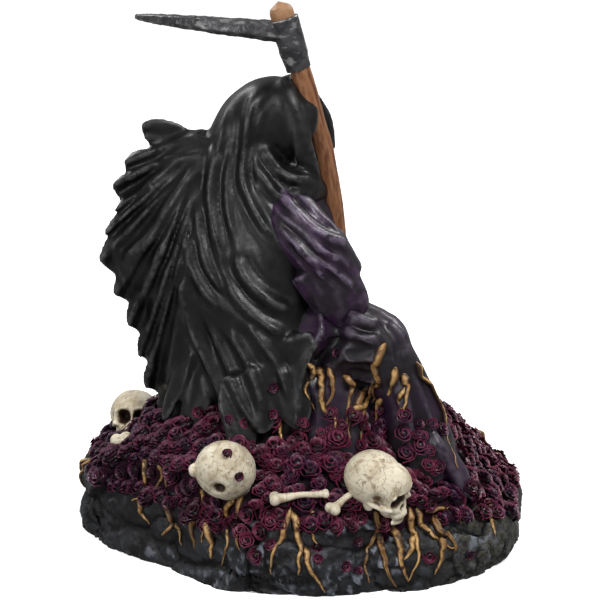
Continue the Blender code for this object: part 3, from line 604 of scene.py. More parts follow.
# Rows from the ground up: height, front, back, width on the near side, width on the far side
CLOAK_ROWS = (
    (36, -16, 44, 38, 38),
    (50, -15, 52, 43, 42),
    (66, -13, 61, 43.5, 42),
    (80, -12, 64, 43, 41),
    (95, -12, 66, 42, 39),
    (112, -12, 75, 39, 37),
    (124, -12, 78, 36.5, 35),
    (136, -12, 75, 33, 32),
    (147, -9, 71, 29, 28),
    (157, -4, 65, 25, 24),
    (166, 2, 58, 21, 20),
    (172, 6, 46, 18, 17),
)

# Torn strips of the trailing edge: root, tip and half width
TATTERS = (
    ((0, 30, 157), (2, 65, 176), 8.5),
    ((0, 34, 162), (0, 50, 171), 8),
    ((0, 40, 150), (-1, 72.5, 161), 9.5),
    ((0, 45, 142), (1, 77.5, 151), 9),
    ((0, 45, 136), (-2, 76.5, 141), 10),
    ((0, 48, 128), (0, 81, 131), 11.5),
    ((0, 48, 124), (2, 84, 119), 12),
    ((0, 46, 116), (1, 78, 104), 10.5),
    ((0, 42, 108), (-2, 72.5, 91), 11.5),
    ((0, 38, 96), (-1, 68, 77), 12),
    ((0, 34, 80), (1, 66, 63), 12),
    ((0, 32, 66), (0, 60, 50), 12),
)

# Torn strips of the hem: the first two hang only on the near side, the others on both
HEM_STRIPS = (
    ((-40, 2, 98), (-44, -4, 80), 7),
    ((-41, 6, 84), (-47, 0, 61), 8),
    ((-40, 16, 84), (-48, 15, 59), 7),
    ((-38, 26, 80), (-49, 23, 48), 7.5),
    ((-24, 34, 86), (-24, 49, 50), 7),
    ((-12, 44, 92), (-17, 57, 54), 7),
)

# Fold lines in the side view, as (y, z), with half width and height: a ridge with a furrow on each side
FOLDS = (
    (((15, 194), (20, 186), (22, 172), (23, 159), (20, 151), (14, 141), (8, 134)), 1.7, 1.7),
    (((12, 191), (16, 184), (18, 172), (18, 161), (15, 150)), 1.2, 0.8),
    (((29, 186), (33, 169), (36, 159), (36, 146), (33, 133), (31, 127)), 1.9, 1.9),
    (((25, 186), (28, 170), (30, 158), (29, 144), (26, 134)), 1.4, 0.9),
    (((26, 132), (23, 123), (14, 114), (2, 107)), 2.2, 2.0),
    (((30, 122), (26, 113), (16, 104), (4, 98)), 1.6, 1.0),
    (((46, 137), (45, 124), (39, 114), (31, 106)), 1.9, 1.7),
    (((41, 150), (41, 136), (37, 122), (30, 112)), 1.5, 1.1),
    (((49, 132), (49, 116), (45, 100), (41, 89), (37, 81)), 2.0, 1.7),
    (((15, 171), (8, 162), (-2, 158)), 1.6, 1.6),
    (((18, 165), (12, 156), (7, 152), (-2, 153)), 1.6, 1.8),
    (((36, 175), (50, 170), (65, 166)), 1.6, 1.1),
    (((37, 174), (55, 167), (71, 162)), 1.6, 1.1),
    (((37, 172), (57, 162), (77, 151)), 1.8, 1.2),
    (((38, 169), (55, 159), (67, 145), (76, 139)), 2.0, 1.4),
    (((39, 166), (51, 150), (62, 132), (79, 113)), 2.2, 1.6),
    (((42, 160), (53, 140), (60, 118), (66, 96)), 2.2, 1.6),
    (((56, 136), (68, 124), (80, 122)), 1.6, 1.0),
    (((52, 128), (57, 108), (63, 86), (62, 66)), 1.8, 1.3),
    (((50, 98), (53, 80), (56, 60)), 1.6, 1.1),
    (((30, 100), (20, 84), (14, 66)), 1.8, 1.4),
    (((46, 100), (38, 82), (26, 54)), 1.8, 1.4),
    (((22, 104), (10, 88), (3, 70)), 1.6, 1.1),
    (((38, 100), (30, 84), (20, 62)), 1.5, 1.1),
    (((44, 88), (47, 74), (50, 62)), 1.5, 1.1),
)

# The cape's front edge on the near side, and the robe's recess beside it
CAPE_EDGE = ((6, 134), (0, 126), (-3, 117), (-8, 109), (-10, 101), (-7, 95), (-2, 82), (0, 63))

# The hood looks a little towards the near side
HEAD_TURN = math.radians(-12)


def posed_limb(*rows, **kind):
    """A limb from rows of place, half width and half depth, all in parts of the figure's height."""
    places, widths, depths = zip(*rows)
    return limb([at(*place) for place in places], lengths(*widths), lengths(*depths), **kind)


def ball(centre, radii, turn=(0, 0, 0), sides=24, rows=14):
    """An ellipsoid."""
    rings = []
    for row in range(1, rows):
        tilt = math.pi * row / rows
        height, girth = -math.cos(tilt), math.sin(tilt)
        rings.append([(girth * c, girth * s, height) for c, s in circle(sides)])
    points, faces = capped(rings, (0, 0, -1), (0, 0, 1))
    spin = np.array(Euler(turn).to_matrix())
    return (points * np.asarray(radii)) @ spin.T + np.asarray(centre), faces


def cloak_ring(front, back, near, far):
    """A level slice: round the shoulders in front, drawn out behind to the cloth's thin edge."""
    ring = []
    half = 34
    for side, width in ((-1, near), (1, far)):
        row = []
        for share in (k / half for k in range(half + 1)):
            if share < 0.3:
                wide = math.sqrt(1 - (1 - share / 0.3) ** 2)
            else:
                wide = 1 - ((share - 0.3) / 0.7) ** 1.45
            row.append((side, share, width * wide))
        ring.extend(row if side < 0 else reversed(row[1:-1]))
    edge = CLOTH_EDGE / UNIT
    return [
        (side * max(width, edge * math.sqrt(min(1, share * 40))), front + share * (back - front))
        for side, share, width in ring
    ]


def cloak_shapes():
    rings = []
    for height, *row in smooth_rows(CLOAK_ROWS, 4):
        rings.append([at(x, y, height) for x, y in cloak_ring(*row)][::-1])
    return [capped(rings, at(0, 20, CLOAK_ROWS[0][0]), at(0, 22, CLOAK_ROWS[-1][0] + 1))]


def strip(root, tip, half_width, thick, across):
    """A leaf of cloth, widest past its middle and blunt at its tip."""
    root, tip = at(*root), at(*tip)
    places = [root.lerp(tip, share) for share in (0, 0.45, 0.75, 0.93, 1.0)]
    wide = lengths(*(half_width * share for share in (1.0, 1.05, 0.9, 0.54, 0.16)))
    deep = [thick * share for share in (1.6, 1.2, 1.0, 0.9, 0.6)]
    return limb(places, deep, wide, across=across, sides=20, steps=4)


def tatter_shapes():
    shapes = [strip(root, tip, width, CLOTH_EDGE, (1, 0, 0)) for root, tip, width in TATTERS]
    for root, tip, width in HEM_STRIPS:
        outward = (1, 0, 0.3) if root[1] < 30 else (root[0], root[1] - 14, 0)
        shapes.append(strip(root, tip, width, CLOTH_EDGE, outward))
    for (x, y, z), (tip_x, tip_y, tip_z), width in HEM_STRIPS[2:]:
        shapes.append(strip((-x, y, z), (-tip_x, tip_y, tip_z), width, CLOTH_EDGE, (-x, y - 14, 0)))
    return shapes


def pleat_fan(thing):
    """Waves the streaming back of the cloak, with a ridge down the middle of each torn strip."""
    points, _ = points_of(thing)
    neck = at(0, 36.5, 172)
    tips = [at(*tip) - neck for _, tip, _ in TATTERS]
    turns = sorted(math.atan2(tip.z, tip.y) for tip in tips)
    reach = np.hypot(points[:, 1] - neck.y, points[:, 2] - neck.z)
    turn = np.arctan2(points[:, 2] - neck.z, points[:, 1] - neck.y)
    wave = np.cos(2 * math.pi * np.interp(turn, turns, range(len(turns))))
    size = PLEAT_HEIGHT * ease(reach / UNIT, 14, 44) * ease(points[:, 1] / UNIT, 36, 52)
    points[:, 0] -= wave * size
    put_points(thing, points)


def hood_shapes():
    crown = posed_limb(
        ((1, 31, 158), 17, 12),
        ((0, 22, 172), 18, 15),
        ((0, 13, 179), 17.5, 17),
        ((-1, 6, 177), 16, 18),
        ((0, 0, 172), 15, 17),
        sides=36,
    )
    cowl = posed_limb(
        ((-13, 16, 158), 5, 5),
        ((-17, 2, 155), 7.5, 7.5),
        ((-4, -7, 150), 6, 6),
        ((12, -6, 153), 6.5, 6.5),
        ((18, 10, 160), 7, 7),
        across=(0, 0, 1),
    )
    brow = posed_limb(
        ((-13, -5, 151), 2.6, 4.5),
        ((-16, -3, 163), 2.6, 4.5),
        ((-16, 0, 175), 2.6, 4.5),
        ((-13, 4, 187), 2.8, 4.5),
        ((-6, 6, 193.5), 3, 4.5),
        ((3, 3, 192), 3, 4.5),
        ((9, -3, 185.5), 2.8, 4.5),
        ((12.5, -9.5, 176), 2.4, 4),
        ((12.5, -12.5, 163), 2, 3),
        across=(1, 0, 0.01),
    )
    return [crown, cowl, brow]


def line_distance(points, line):
    """Each point's distance to a line in the side view, its side of the line, and how far along it is."""
    best = np.full(len(points), 1e9)
    side = np.zeros(len(points))
    place = np.zeros(len(points))
    spans = np.linalg.norm(np.diff(line, axis=0), axis=1)
    total, done = spans.sum(), 0.0
    for start, end, span in zip(line[:-1], line[1:], spans):
        run = (end - start) / span
        along = np.clip((points - start) @ run, 0, span)
        offset = points - start - along[:, None] * run
        gap = np.hypot(*offset.T)
        nearer = gap < best
        best = np.where(nearer, gap, best)
        side = np.where(nearer, np.sign(run[0] * offset[:, 1] - run[1] * offset[:, 0]), side)
        place = np.where(nearer, (done + along) / total, place)
        done += span
    return best, side, place


def side_line(pairs):
    """A smooth line in the side view through the given (y, z) places."""
    return smooth_rows([at(0, y, z)[1:] for y, z in pairs], 4)


def fold_push(points, folds):
    """How far folds move each point out, seen from the side. Furrows are shallow where the cloth is thin."""
    push = np.zeros(len(points))
    furrow = 0.62 - 0.45 * ease(points[:, 1] / UNIT, 38, 56)
    for pairs, half_width, height in folds:
        gap, _, place = line_distance(points[:, 1:], side_line(pairs))
        reach = gap / (half_width * UNIT)
        fade = np.minimum(ease(place, 0, 0.18), 1 - ease(place, 0.8, 1.0)) * 0.85 + 0.15
        ridge = np.exp(-(reach**1.6)) - furrow * np.exp(-((reach - 2.1) ** 2) * 1.1)
        push += ridge * fade * height * UNIT
    return push


def carve(thing, folds, far_share=0.9, edge=True):
    """Raises fold lines on the near and far sides, and sinks the recess beside the cape's front edge."""
    points, normals = points_of(thing)
    facing = ease(np.abs(normals[:, 0]), 0.15, 0.5)
    near = normals[:, 0] < 0
    push = fold_push(points, folds) * np.where(near, 1.0, far_share)
    if edge:
        gap, side, place = line_distance(points[:, 1:], side_line(CAPE_EDGE))
        reach = gap / UNIT
        lip = np.exp(-(((reach - 1.0) / 2.2) ** 2)) * 1.2
        inner_part = ease(place, 0.22, 0.45) * (1 - ease(place, 0.7, 0.86))
        recess = -6.5 * np.exp(-(((reach - 5.0) / 3.6) ** 2)) * inner_part
        push += np.where(near, np.where(side < 0, recess, lip), 0) * UNIT
    put_points(thing, points + normals * (push * facing)[:, None])


def wrinkle(thing, size, height, stretch=(1.0, 1.0, 0.45)):
    """Small uneven folds that run mostly down the cloth."""
    points, normals = points_of(thing)
    push = [noise.noise(Vector(point * stretch) / size) for point in points]
    put_points(thing, points + normals * (np.array(push) * height)[:, None])


def cut_out(thing, shape):
    cutter = joined("cutter", [shape])
    cut = thing.modifiers.new("cut", "BOOLEAN")
    cut.object = cutter
    cut.operation = "DIFFERENCE"
    settled(thing)
    bpy.data.objects.remove(cutter)


cloak = joined("cloak", cloak_shapes() + tatter_shapes() + hood_shapes())
one_skin(cloak, CLOAK_GRAIN, 3)
pleat_fan(cloak)
carve(cloak, FOLDS)
wrinkle(cloak, 0.007, 0.0005)
cut_out(cloak, ball(at(-2.5, -9, 171), lengths(10.5, 19, 18), (0, 0, HEAD_TURN)))
one_skin(cloak, CLOAK_GRAIN, 2)
mark_relief(cloak, 16, 0.0007)

black = new_paint("black cloak paint", (0.004, 0.004, 0.0042), 0.4, 0.35)
patchy_coat(black, (0.009, 0.0087, 0.0092), 0.01, 0.4, 0.7)
# Grey on the ridges: dry-brushed paint and painted highlight both.
dry_brush_and_highlight(black, (0.075, 0.075, 0.078), 0.6, 1.0, 0.003, 5.0, 0.3, 0.65)
# Painted shade: darker in the furrows between the folds.
relief_coat(black, (0.0012, 0.0012, 0.0012), 0.4, 0.1)
set_gloss(black, 0.004, 0.32, 0.48)
tooth(black, 0.0016, 0.00012, 0.5, detail=4.0)
finished(cloak, black)

# The robe: what shows of the kneeling figure under its cape, with the near knee raised, the far knee on the
# ground and the hem spread over the mound. Same casting, painted purple-black with lavender highlights on its
# ridges, dry-brushed paint and painted highlight both, and painted shade in its creases.

ROBE_GRAIN = 0.00105
CREASES = (
    (((-12, 113), (-19, 108), (-27, 104), (-33, 104)), 1.4, 1.5),
    (((-13, 102), (-23, 99), (-31, 97)), 1.6, 1.8),
    (((-17, 89), (-24, 89), (-32, 90)), 1.6, 1.6),
    (((-18, 80), (-27, 79), (-33, 81)), 1.6, 1.6),
    (((-30, 109), (-37, 104), (-42, 96), (-43, 87)), 1.5, 1.4),
    (((-36, 84), (-42, 72), (-47, 56)), 1.6, 1.0),
    (((-44, 86), (-50, 72), (-56, 56), (-62, 46)), 1.6, 1.0),
)


def robe_shapes():
    """Torso, the raised near knee, the far knee on the ground and the robe's hem."""
    chest = posed_limb(
        ((0, 8, 80), 26, 20), ((0, 2, 110), 26, 17), ((0, 2, 135), 25, 17), ((0, 8, 155), 18, 15)
    )
    near_thigh = posed_limb(
        ((-18, 8, 76), 20, 20), ((-26, -12, 92), 18, 18), ((-30, -29, 92), 15, 15), ((-31, -37, 84), 12, 12)
    )
    near_shin = posed_limb(
        ((-31, -33, 88), 14, 13), ((-31, -42, 72), 14, 13), ((-31, -47, 54), 15, 14), ((-32, -52, 36), 17, 15)
    )
    far_thigh = posed_limb(
        ((18, 6, 78), 20, 20), ((26, -12, 66), 18, 18), ((29, -30, 54), 16, 16), ((29, -38, 46), 13, 13)
    )
    far_knee = ball(at(28, -33, 42), lengths(18, 18, 15))
    lap = posed_limb(((0, 4, 84), 22, 16), ((0, -4, 66), 24, 15), ((0, -7, 44), 28, 15))
    skirt = posed_limb(((-24, -2, 90), 14, 12), ((-29, -12, 70), 15, 16), ((-31, -18, 44), 18, 20))
    hem = posed_limb(
        ((-32, -48, 58), 13, 7), ((-37, -57, 49), 11, 6), ((-43, -64, 40), 7, 4), ((-47, -68, 32), 3, 2)
    )
    far_hem = posed_limb(((30, -32, 46), 13, 8), ((36, -44, 42), 12, 6), ((42, -54, 37), 9, 4))
    return [chest, near_thigh, near_shin, far_thigh, far_knee, lap, skirt, hem, far_hem]


robe = joined("robe", robe_shapes())
one_skin(robe, ROBE_GRAIN, 3)
carve(robe, CREASES, 0.6)
wrinkle(robe, 0.009, 0.0008)
wrinkle(robe, 0.011, 0.0018, (1.0, 1.0, 0.22))
mark_relief(robe, 14, 0.0007)

plum = new_paint("robe paint", (0.009, 0.007, 0.010), 0.42, 0.4)
patchy_coat(plum, (0.022, 0.008, 0.026), 0.02, 0.42, 0.62)
# Lavender on the ridges: dry-brushed paint and painted highlight both.
dry_brush_and_highlight(plum, (0.075, 0.062, 0.085), 0.55, 1.0, 0.003, 5.0, 0.3, 0.65)
# Painted shade: darker in the creases.
relief_coat(plum, (0.005, 0.004, 0.006), 0.4, 0.1)
set_gloss(plum, 0.004, 0.32, 0.5)
tooth(plum, 0.0016, 0.00012, 0.5, detail=4.0)
finished(robe, plum)

# The sleeves: wide openings that fall over the wrists as both arms reach forward. Same casting, the brightest
# purple on the figure, with light purple on the ridges, dry-brushed paint and painted highlight both, and
# painted shade in the creases.

SLEEVE_GRAIN = 0.0009
SLEEVE_CREASES = (
    (((13, 160), (7, 153), (-5, 142), (-18, 136), (-25, 131)), 1.6, 1.6),
    (((3, 157), (-9, 148), (-21, 139)), 1.3, 1.2),
    (((8, 148), (-6, 137), (-15, 128)), 1.4, 1.3),
    (((-4, 131), (-14, 125), (-22, 117)), 1.3, 1.2),
    (((5, 139), (-4, 130), (-12, 120)), 1.3, 1.0),
)


def sleeve_shapes():
    near = posed_limb(
        ((-14, 9, 148), 8, 9),
        ((-24.5, 2, 141), 11, 12),
        ((-29.5, -8, 130), 11.5, 12),
        ((-27, -16, 118), 10.5, 11),
    )
    near_cuff = posed_limb(((-32, -7, 126), 7, 13), ((-33, -16, 112), 7, 12), ((-31, -20, 103), 5, 9))
    far = posed_limb(
        ((14, 10, 148), 8, 9), ((24, 5, 141), 10, 10), ((26, -2, 132), 9.5, 10), ((20, -10, 124), 8, 8)
    )
    far_cuff = posed_limb(((26, -3, 128), 6, 10), ((25, -10, 117), 6, 9), ((22, -14, 108), 5, 7))
    return [near, near_cuff, far, far_cuff]


sleeves = joined("sleeves", sleeve_shapes())
one_skin(sleeves, SLEEVE_GRAIN, 2)
carve(sleeves, SLEEVE_CREASES, 0.9, False)
wrinkle(sleeves, 0.006, 0.0005)
mark_relief(sleeves, 14, 0.0006)

purple = new_paint("sleeve paint", (0.010, 0.006, 0.012), 0.4, 0.4)
patchy_coat(purple, (0.032, 0.012, 0.038), 0.012, 0.4, 0.62)
# Light purple on the ridges: dry-brushed paint and painted highlight both.
dry_brush_and_highlight(purple, (0.13, 0.10, 0.15), 0.52, 0.95, 0.003, 5.0, 0.3, 0.6)
# Painted shade: darker in the creases.
relief_coat(purple, (0.010, 0.005, 0.012), 0.4, 0.12)
set_gloss(purple, 0.004, 0.3, 0.48)
tooth(purple, 0.0016, 0.00012, 0.5, detail=4.0)
finished(sleeves, purple)

# The skulls: five lie among the roses, and the reaper's own bare face is set back in the hood. All are part
# of the casting, painted ivory with a brown wash in the hollows and the sutures, with painted highlight on
# the raised bone and painted shade, nearly black, deepest in the sockets and the other dents.

SKULL_LENGTH = 0.031
SKULL_GRAIN = 0.0155
REAPER_FACE_LENGTH = 0.0225

# Where each lies, as shares of half the base's depth and length and a lift in skull lengths above the ground,
# then its size against the others, and its turn about x, y and z in degrees
SKULLS = (
    ((0.19, 0.746, 0.06), 0.88, (-20, 0, -92)),
    ((-0.79, 0.307, 0.29), 1.0, (45, 0, 75)),
    ((-0.80, -0.325, 0.245), 0.95, (18, -6, -30)),
    ((0.66, -0.41, 0.10), 0.95, (-5, 0, 70)),
    ((0.55, 0.50, 0.10), 0.9, (-20, 10, 160)),
)


def both_sides(rows):
    """The rows, each that lies off the middle line followed by its mirror image."""
    out = []
    for (x, y, z), *rest in rows:
        for side in (1, -1) if x else (1,):
            out.append(((side * x, y, z), *rest))
    return tuple(out)


# Balls of the skull: middle, radii and turn about x, in shares of its length, facing -y
SKULL_PARTS = both_sides((
    ((0, 0.10, 0.08), (0.40, 0.41, 0.37), 0),
    ((0, -0.12, 0.09), (0.35, 0.33, 0.31), 0),
    ((0, -0.27, -0.12), (0.24, 0.19, 0.24), 10),
    ((0.23, -0.29, -0.09), (0.09, 0.13, 0.05), 0),
    ((0.10, -0.405, 0.125), (0.10, 0.055, 0.05), 0),
    ((0.21, -0.35, 0.10), (0.07, 0.06, 0.05), 0),
    ((0.255, -0.32, 0.01), (0.035, 0.045, 0.11), 0),
    ((0.30, -0.12, -0.12), (0.035, 0.2, 0.03), 0),
    ((0, -0.45, 0.02), (0.035, 0.045, 0.07), 0),
    ((0, -0.37, -0.24), (0.16, 0.12, 0.09), 0),
    ((0.24, -0.02, -0.20), (0.045, 0.08, 0.09), 0),
))

# The one that lies on its face shows only its braincase and the bone behind one ear
FACE_DOWN = 2
BRAINCASE = (*SKULL_PARTS[:2], ((0.39, 0.17, 0.0), (0.07, 0.09, 0.09), 0))

# Hollows: middle, radius and depth, in shares of its length
FORAMEN = ((-0.01, 0.26, -0.27), 0.08, 0.11)
EYE_NOSE_TEMPLE = (
    ((0.135, -0.44, 0.01), 0.10, 0.27), ((0.028, -0.49, -0.11), 0.052, 0.16), ((0.37, -0.18, 0.0), 0.1, 0.06),
)
SKULL_DENTS = (*both_sides(EYE_NOSE_TEMPLE), FORAMEN)
TEETH = 8
TOOTH_APART = 17
TOOTH = (0.026, 0.026, 0.045)


def on_base(x_share, y_share, lift):
    """A place over the ground of the base, at shares of half its depth and half its length."""
    x, y = x_share * BASE_DEPTH / 2, y_share * BASE_LENGTH / 2
    return Vector((x, y, mound_height(x, y) + lift))


def skull(name, centre, spin, size, parts, paint):
    shapes = []
    turn = np.array(spin)
    balls = [(*part, 24, 14) for part in parts]
    for k in range(0 if parts is BRAINCASE else TEETH):
        across = math.radians((k - (TEETH - 1) / 2) * TOOTH_APART)
        place = (0.15 * math.sin(across), -0.33 - 0.12 * math.cos(across), -0.345)
        balls.append((place, TOOTH, 0, 10, 7))
    for middle, radii, tilt, sides, rows in balls:
        radii = [radius * size for radius in radii]
        points, faces = ball((0, 0, 0), radii, (math.radians(tilt), 0, 0), sides, rows)
        shapes.append(((points + np.array(middle) * size) @ turn.T + np.array(centre), faces))
    thing = one_skin(joined(name, shapes), size * SKULL_GRAIN, 2)
    points, _ = points_of(thing)
    sound = points.copy()
    for middle, radius, depth in SKULL_DENTS:
        hollow = centre + spin @ (Vector(middle) * size)
        gap = np.linalg.norm(points - np.array(hollow), axis=1) / (radius * size)
        inward = np.array((spin @ Vector((-middle[0] * 0.6, 1.0, 0.05))).normalized())
        if abs(middle[0]) > 0.3 or middle[1] > 0:
            inward = np.array((centre - hollow).normalized())
        points += inward * (depth * size * np.exp(-(gap**2.6) * 0.9))[:, None]
    hollow_share = np.clip(np.linalg.norm(points - sound, axis=1) / (0.11 * size), 0, 1)
    put_points(thing, points)
    wobble = [0.35 * noise.noise(Vector(p) / 0.004) + 0.2 * noise.noise(Vector(p) / 0.0015) for p in points]
    points, normals = points_of(thing)
    put_points(thing, points + normals * (np.array(wobble) * size * 0.02)[:, None])
    mark_relief(thing, 14, size * 0.012)
    relief = thing.data.attributes["relief"].data
    values = np.empty(len(points), np.float32)
    relief.foreach_get("value", values)
    relief.foreach_set("value", (values * (1 - hollow_share)).astype(np.float32))
    return finished(thing, paint)


bone_paint = new_paint("bone paint", (0.50, 0.42, 0.29), 0.5, 0.4)
patchy_coat(bone_paint, (0.70, 0.63, 0.48), 0.007, 0.35, 0.5)
patchy_coat(bone_paint, (0.33, 0.23, 0.12), 0.0035, 0.53, 0.7, 0.7, detail=6.0)
patchy_coat(bone_paint, (0.20, 0.11, 0.05), 0.0013, 0.6, 0.7, 0.6, detail=4.0)
wandering = combine(bone_paint, "SUBTRACT", grain(bone_paint, 0.012, 5.0), 0.5)
hairline = combine(bone_paint, "ABSOLUTE", wandering, 0.0)
coat(bone_paint, (0.13, 0.07, 0.035), ramp(bone_paint, hairline, 0.012, 0.0, 0, 0.6))
# Painted highlight: pale cream on the raised bone.
relief_coat(bone_paint, (0.80, 0.74, 0.61), 0.55, 0.95)
relief_coat(bone_paint, (0.10, 0.05, 0.022), 0.45, 0.15)
# Painted shade: nearly black in the deepest hollows, which skull() makes of the eye sockets, the nose and the
# other dents.
relief_coat(bone_paint, (0.022, 0.010, 0.006), 0.22, 0.02)
set_gloss(bone_paint, 0.003, 0.42, 0.62)
tooth(bone_paint, 0.0018, 0.00025, 0.6, detail=5.0)

for number, (place, scale, turn) in enumerate(SKULLS, 1):
    spin = Euler([math.radians(angle) for angle in turn]).to_matrix()
    x_share, y_share, lift = place
    centre = on_base(x_share, y_share, lift * SKULL_LENGTH)
    parts = BRAINCASE if number == FACE_DOWN else SKULL_PARTS
    skull(f"skull_{number}", centre, spin, SKULL_LENGTH * scale, parts, bone_paint)
face_turn = Euler((math.radians(6), 0, HEAD_TURN)).to_matrix()
skull("reaper_face", at(0, 7, 172), face_turn, REAPER_FACE_LENGTH, SKULL_PARTS, bone_paint)

# The bones: four loose limb bones that lie on the roses, each a waisted shank with two knobs at either end.
# They are part of the casting and painted as the skulls are.

BONE_DIAMETER = 0.0052
BONE_GRAIN = 0.0004

# Both ends of each, as shares of half the base's depth and length, a lift in bone thicknesses and a size
BONES = (
    ((-0.886, 0.103, 1.0, 0.95), (-0.873, -0.105, 1.3, 0.62)),
    ((-0.92, -0.134, 0.5, 0.9), (-0.82, -0.24, 1.2, 0.7)),
    ((-0.11, 0.785, 0.45, 1.2), (-0.26, 0.70, -0.9, 0.8)),
    ((0.76, 0.186, 0.9, 1.0), (0.835, -0.06, 0.9, 0.8)),
)


def bone_shapes():
    shapes = []
    for ends in BONES:
        a, b = (on_base(x, y, lift * BONE_DIAMETER) for x, y, lift, _ in ends)
        thick, thin = (share * BONE_DIAMETER / 2 for _, _, _, share in ends)
        across = (b - a).cross(UP).normalized()
        waist = (thick + thin) * 0.31
        middle = a.lerp(b, 0.5) + UP * thick * 0.2
        path = [a, a.lerp(b, 0.2), middle, a.lerp(b, 0.8), b]
        shapes.append(limb(path, [thick, thick * 0.72, waist, thin * 0.8, thin]))
        for place, wide in ((a, thick), (b, thin)):
            for way in (-1, 1):
                shapes.append(ball(place + across * way * wide * 0.72, [wide * 0.92] * 3))
    return shapes


bones = one_skin(joined("bones", bone_shapes()), BONE_GRAIN, 2)
mark_relief(bones, 12, 0.0004)
finished(bones, bone_paint)

# The roots: bare roots grow down over the rock and up over the mound and the robe's hem. Part of the casting,
# painted ochre on the side that faces out of the surface and left dark at their sides as painted shade, with
# a painted highlight brushed along the crest.

ROOT_DIAMETER = 0.0034

# Routes on the near side of the rock, as (y, z) on the figure's scale
ROCK_ROOTS = (
    ((64, 44), (64, 34), (65, 28), (71, 22)),
    ((65, 28), (66, 21), (63, 15)),
    ((62, 43), (57, 38), (61, 28)),
    ((53, 45), (54, 40), (55, 33)),
    ((55, 29), (53, 20), (57, 14)),
    ((53, 20), (49, 16), (48, 11)),
    ((40, 41), (38, 27), (40, 16)),
    ((38, 27), (36, 18), (36, 9)),
    ((26, 38), (29, 31), (29, 20), (31, 8)),
    ((23, 41), (25, 28), (23, 18)),
    ((43, 25), (43, 12)),
    ((4, 36), (7, 26), (10, 20), (12, 9)),
    ((4, 36), (0, 22), (0, 10)),
    ((0, 22), (-4, 14), (-10, 2)),
    ((-4, 35), (-4, 29), (-6, 22)),
    ((-30, 35), (-31, 25), (-26, 14), (-28, 5)),
    ((-31, 25), (-34, 15), (-38, 2)),
    ((-37, 28), (-40, 19), (-40, 12), (-44, 5)),
    ((-44, 33), (-44, 26), (-47, 21), (-48, 13), (-44, 5)),
    ((-45, 23), (-44, 16), (-41, 11)),
    ((-47, 33), (-49, 25), (-54, 21), (-62, 16)),
    ((-50, 30), (-60, 29), (-66, 23)),
    ((-54, 28), (-57, 23), (-62, 20), (-62, 14)),
    ((-57, 21), (-57, 15), (-54, 7)),
    ((-79, 34), (-78, 23), (-80, 15)),
)

# Routes up the mound and the cloth on the near side
CLIMBING_ROOTS = (
    ((-3, 89), (-5, 82), (-2, 77), (-7, 67)),
    ((-5, 82), (-8, 81), (-9, 70), (-14, 64), (-15, 58)),
    ((-17, 82), (-21, 76), (-19, 68), (-20, 57)),
    ((-28, 74), (-21, 67), (-20, 60)),
    ((-35, 98), (-31, 87), (-32, 79), (-30, 74), (-30, 66)),
    ((-33, 72), (-32, 59)),
    ((-42, 83), (-43, 77), (-42, 67)),
    ((-47, 87), (-48, 82), (-51, 77), (-57, 70), (-60, 55), (-65, 42)),
    ((-21, 66), (-26, 68), (-29, 74), (-29, 81)),
    ((-12, 84), (-13, 76), (-10, 68)),
    ((-24, 70), (-26, 62), (-25, 55)),
    ((-38, 86), (-37, 78), (-35, 70)),
    ((-43, 78), (-40, 72), (-43, 64)),
    ((9, 65), (8, 59), (7, 53)),
)
FAR_ROOTS = 22


def tree_of(*things):
    points, faces, count = [], [], 0
    for thing in things:
        points.extend(v.co.copy() for v in thing.data.vertices)
        faces.extend(tuple(corner + count for corner in p.vertices) for p in thing.data.polygons)
        count = len(points)
    return BVHTree.FromPolygons(points, faces)


surface = tree_of(rock, mound, cloak, robe)


def root_along(hits, thick, twist):
    """A root through the given surface points, which comes out of the surface and thins to a point, and the
    relief of each of its points."""
    rows = []
    for k, (place, normal) in enumerate(hits):
        share = k / (len(hits) - 1)
        wander = Vector(noise.noise_vector(place / 0.007 + Vector((twist, 0, 0)))) * thick * 0.8
        wide = thick * (1.2 - 0.95 * share**0.8) * (0.35 + 0.65 * float(ease(share, 0, 0.14)))
        dive = wide * 1.5 * max(0, 1 - share / 0.12) + wide * max(0, (share - 0.85) / 0.15)
        rows.append((*(place + wander - normal * dive), *normal, wide))
    rows = smooth_rows(rows, 3)
    sides = 10
    rings, crests = [], []
    for i, row in enumerate(rows):
        centre, normal, wide = Vector(row[:3]), Vector(row[3:6]).normalized(), row[6]
        across = run_at(rows, i).cross(normal).normalized()
        bend = 0.3 * thick * noise.noise(centre / 0.003 + Vector((0, twist, 0)))
        ring = []
        for k in range(sides):
            turn = 2 * math.pi * k / sides
            groove = 1 - 0.14 * math.cos(3 * turn + 2 * i / len(rows) + twist)
            groove += 0.22 * noise.noise(centre / 0.0022 + Vector((k % sides * 0.5, twist, 0)))
            out = wide * groove * math.cos(turn) * 0.95 + wide * 0.3
            ring.append(centre + normal * out + across * (wide * groove * math.sin(turn) + bend))
            crests.append(max(0, math.cos(turn)) * (0.75 + 0.25 * math.cos(3 * turn + twist)))
        rings.append(ring)
    crests += [0.3, 0.3]
    first, last = rows[0], rows[-1]
    shape = capped(rings, Vector(first[:3]), Vector(last[:3]) + Vector((last - rows[-2])[:3]) * 1.5)
    return shape, crests


def near_hits(line):
    hits = []
    for y, z in smooth_rows(line, 6):
        place, normal = seen_from_camera_side(surface, y, z)
        if place is not None:
            hits.append((place, normal))
    return hits


def side_hits(start_turn, end_turn, high, low):
    hits = []
    for share in np.linspace(0, 1, 14):
        turn = start_turn + (end_turn - start_turn) * share + 0.02 * math.sin(start_turn * 9 + 6 * share)
        x, y = rock_outline(turn, 1.3)
        start = Vector((x, y, high + (low - high) * share))
        place, normal, _, _ = surface.ray_cast(start, Vector((-x, -y, 0)).normalized())
        if place is not None:
            hits.append((place, normal))
    return hits


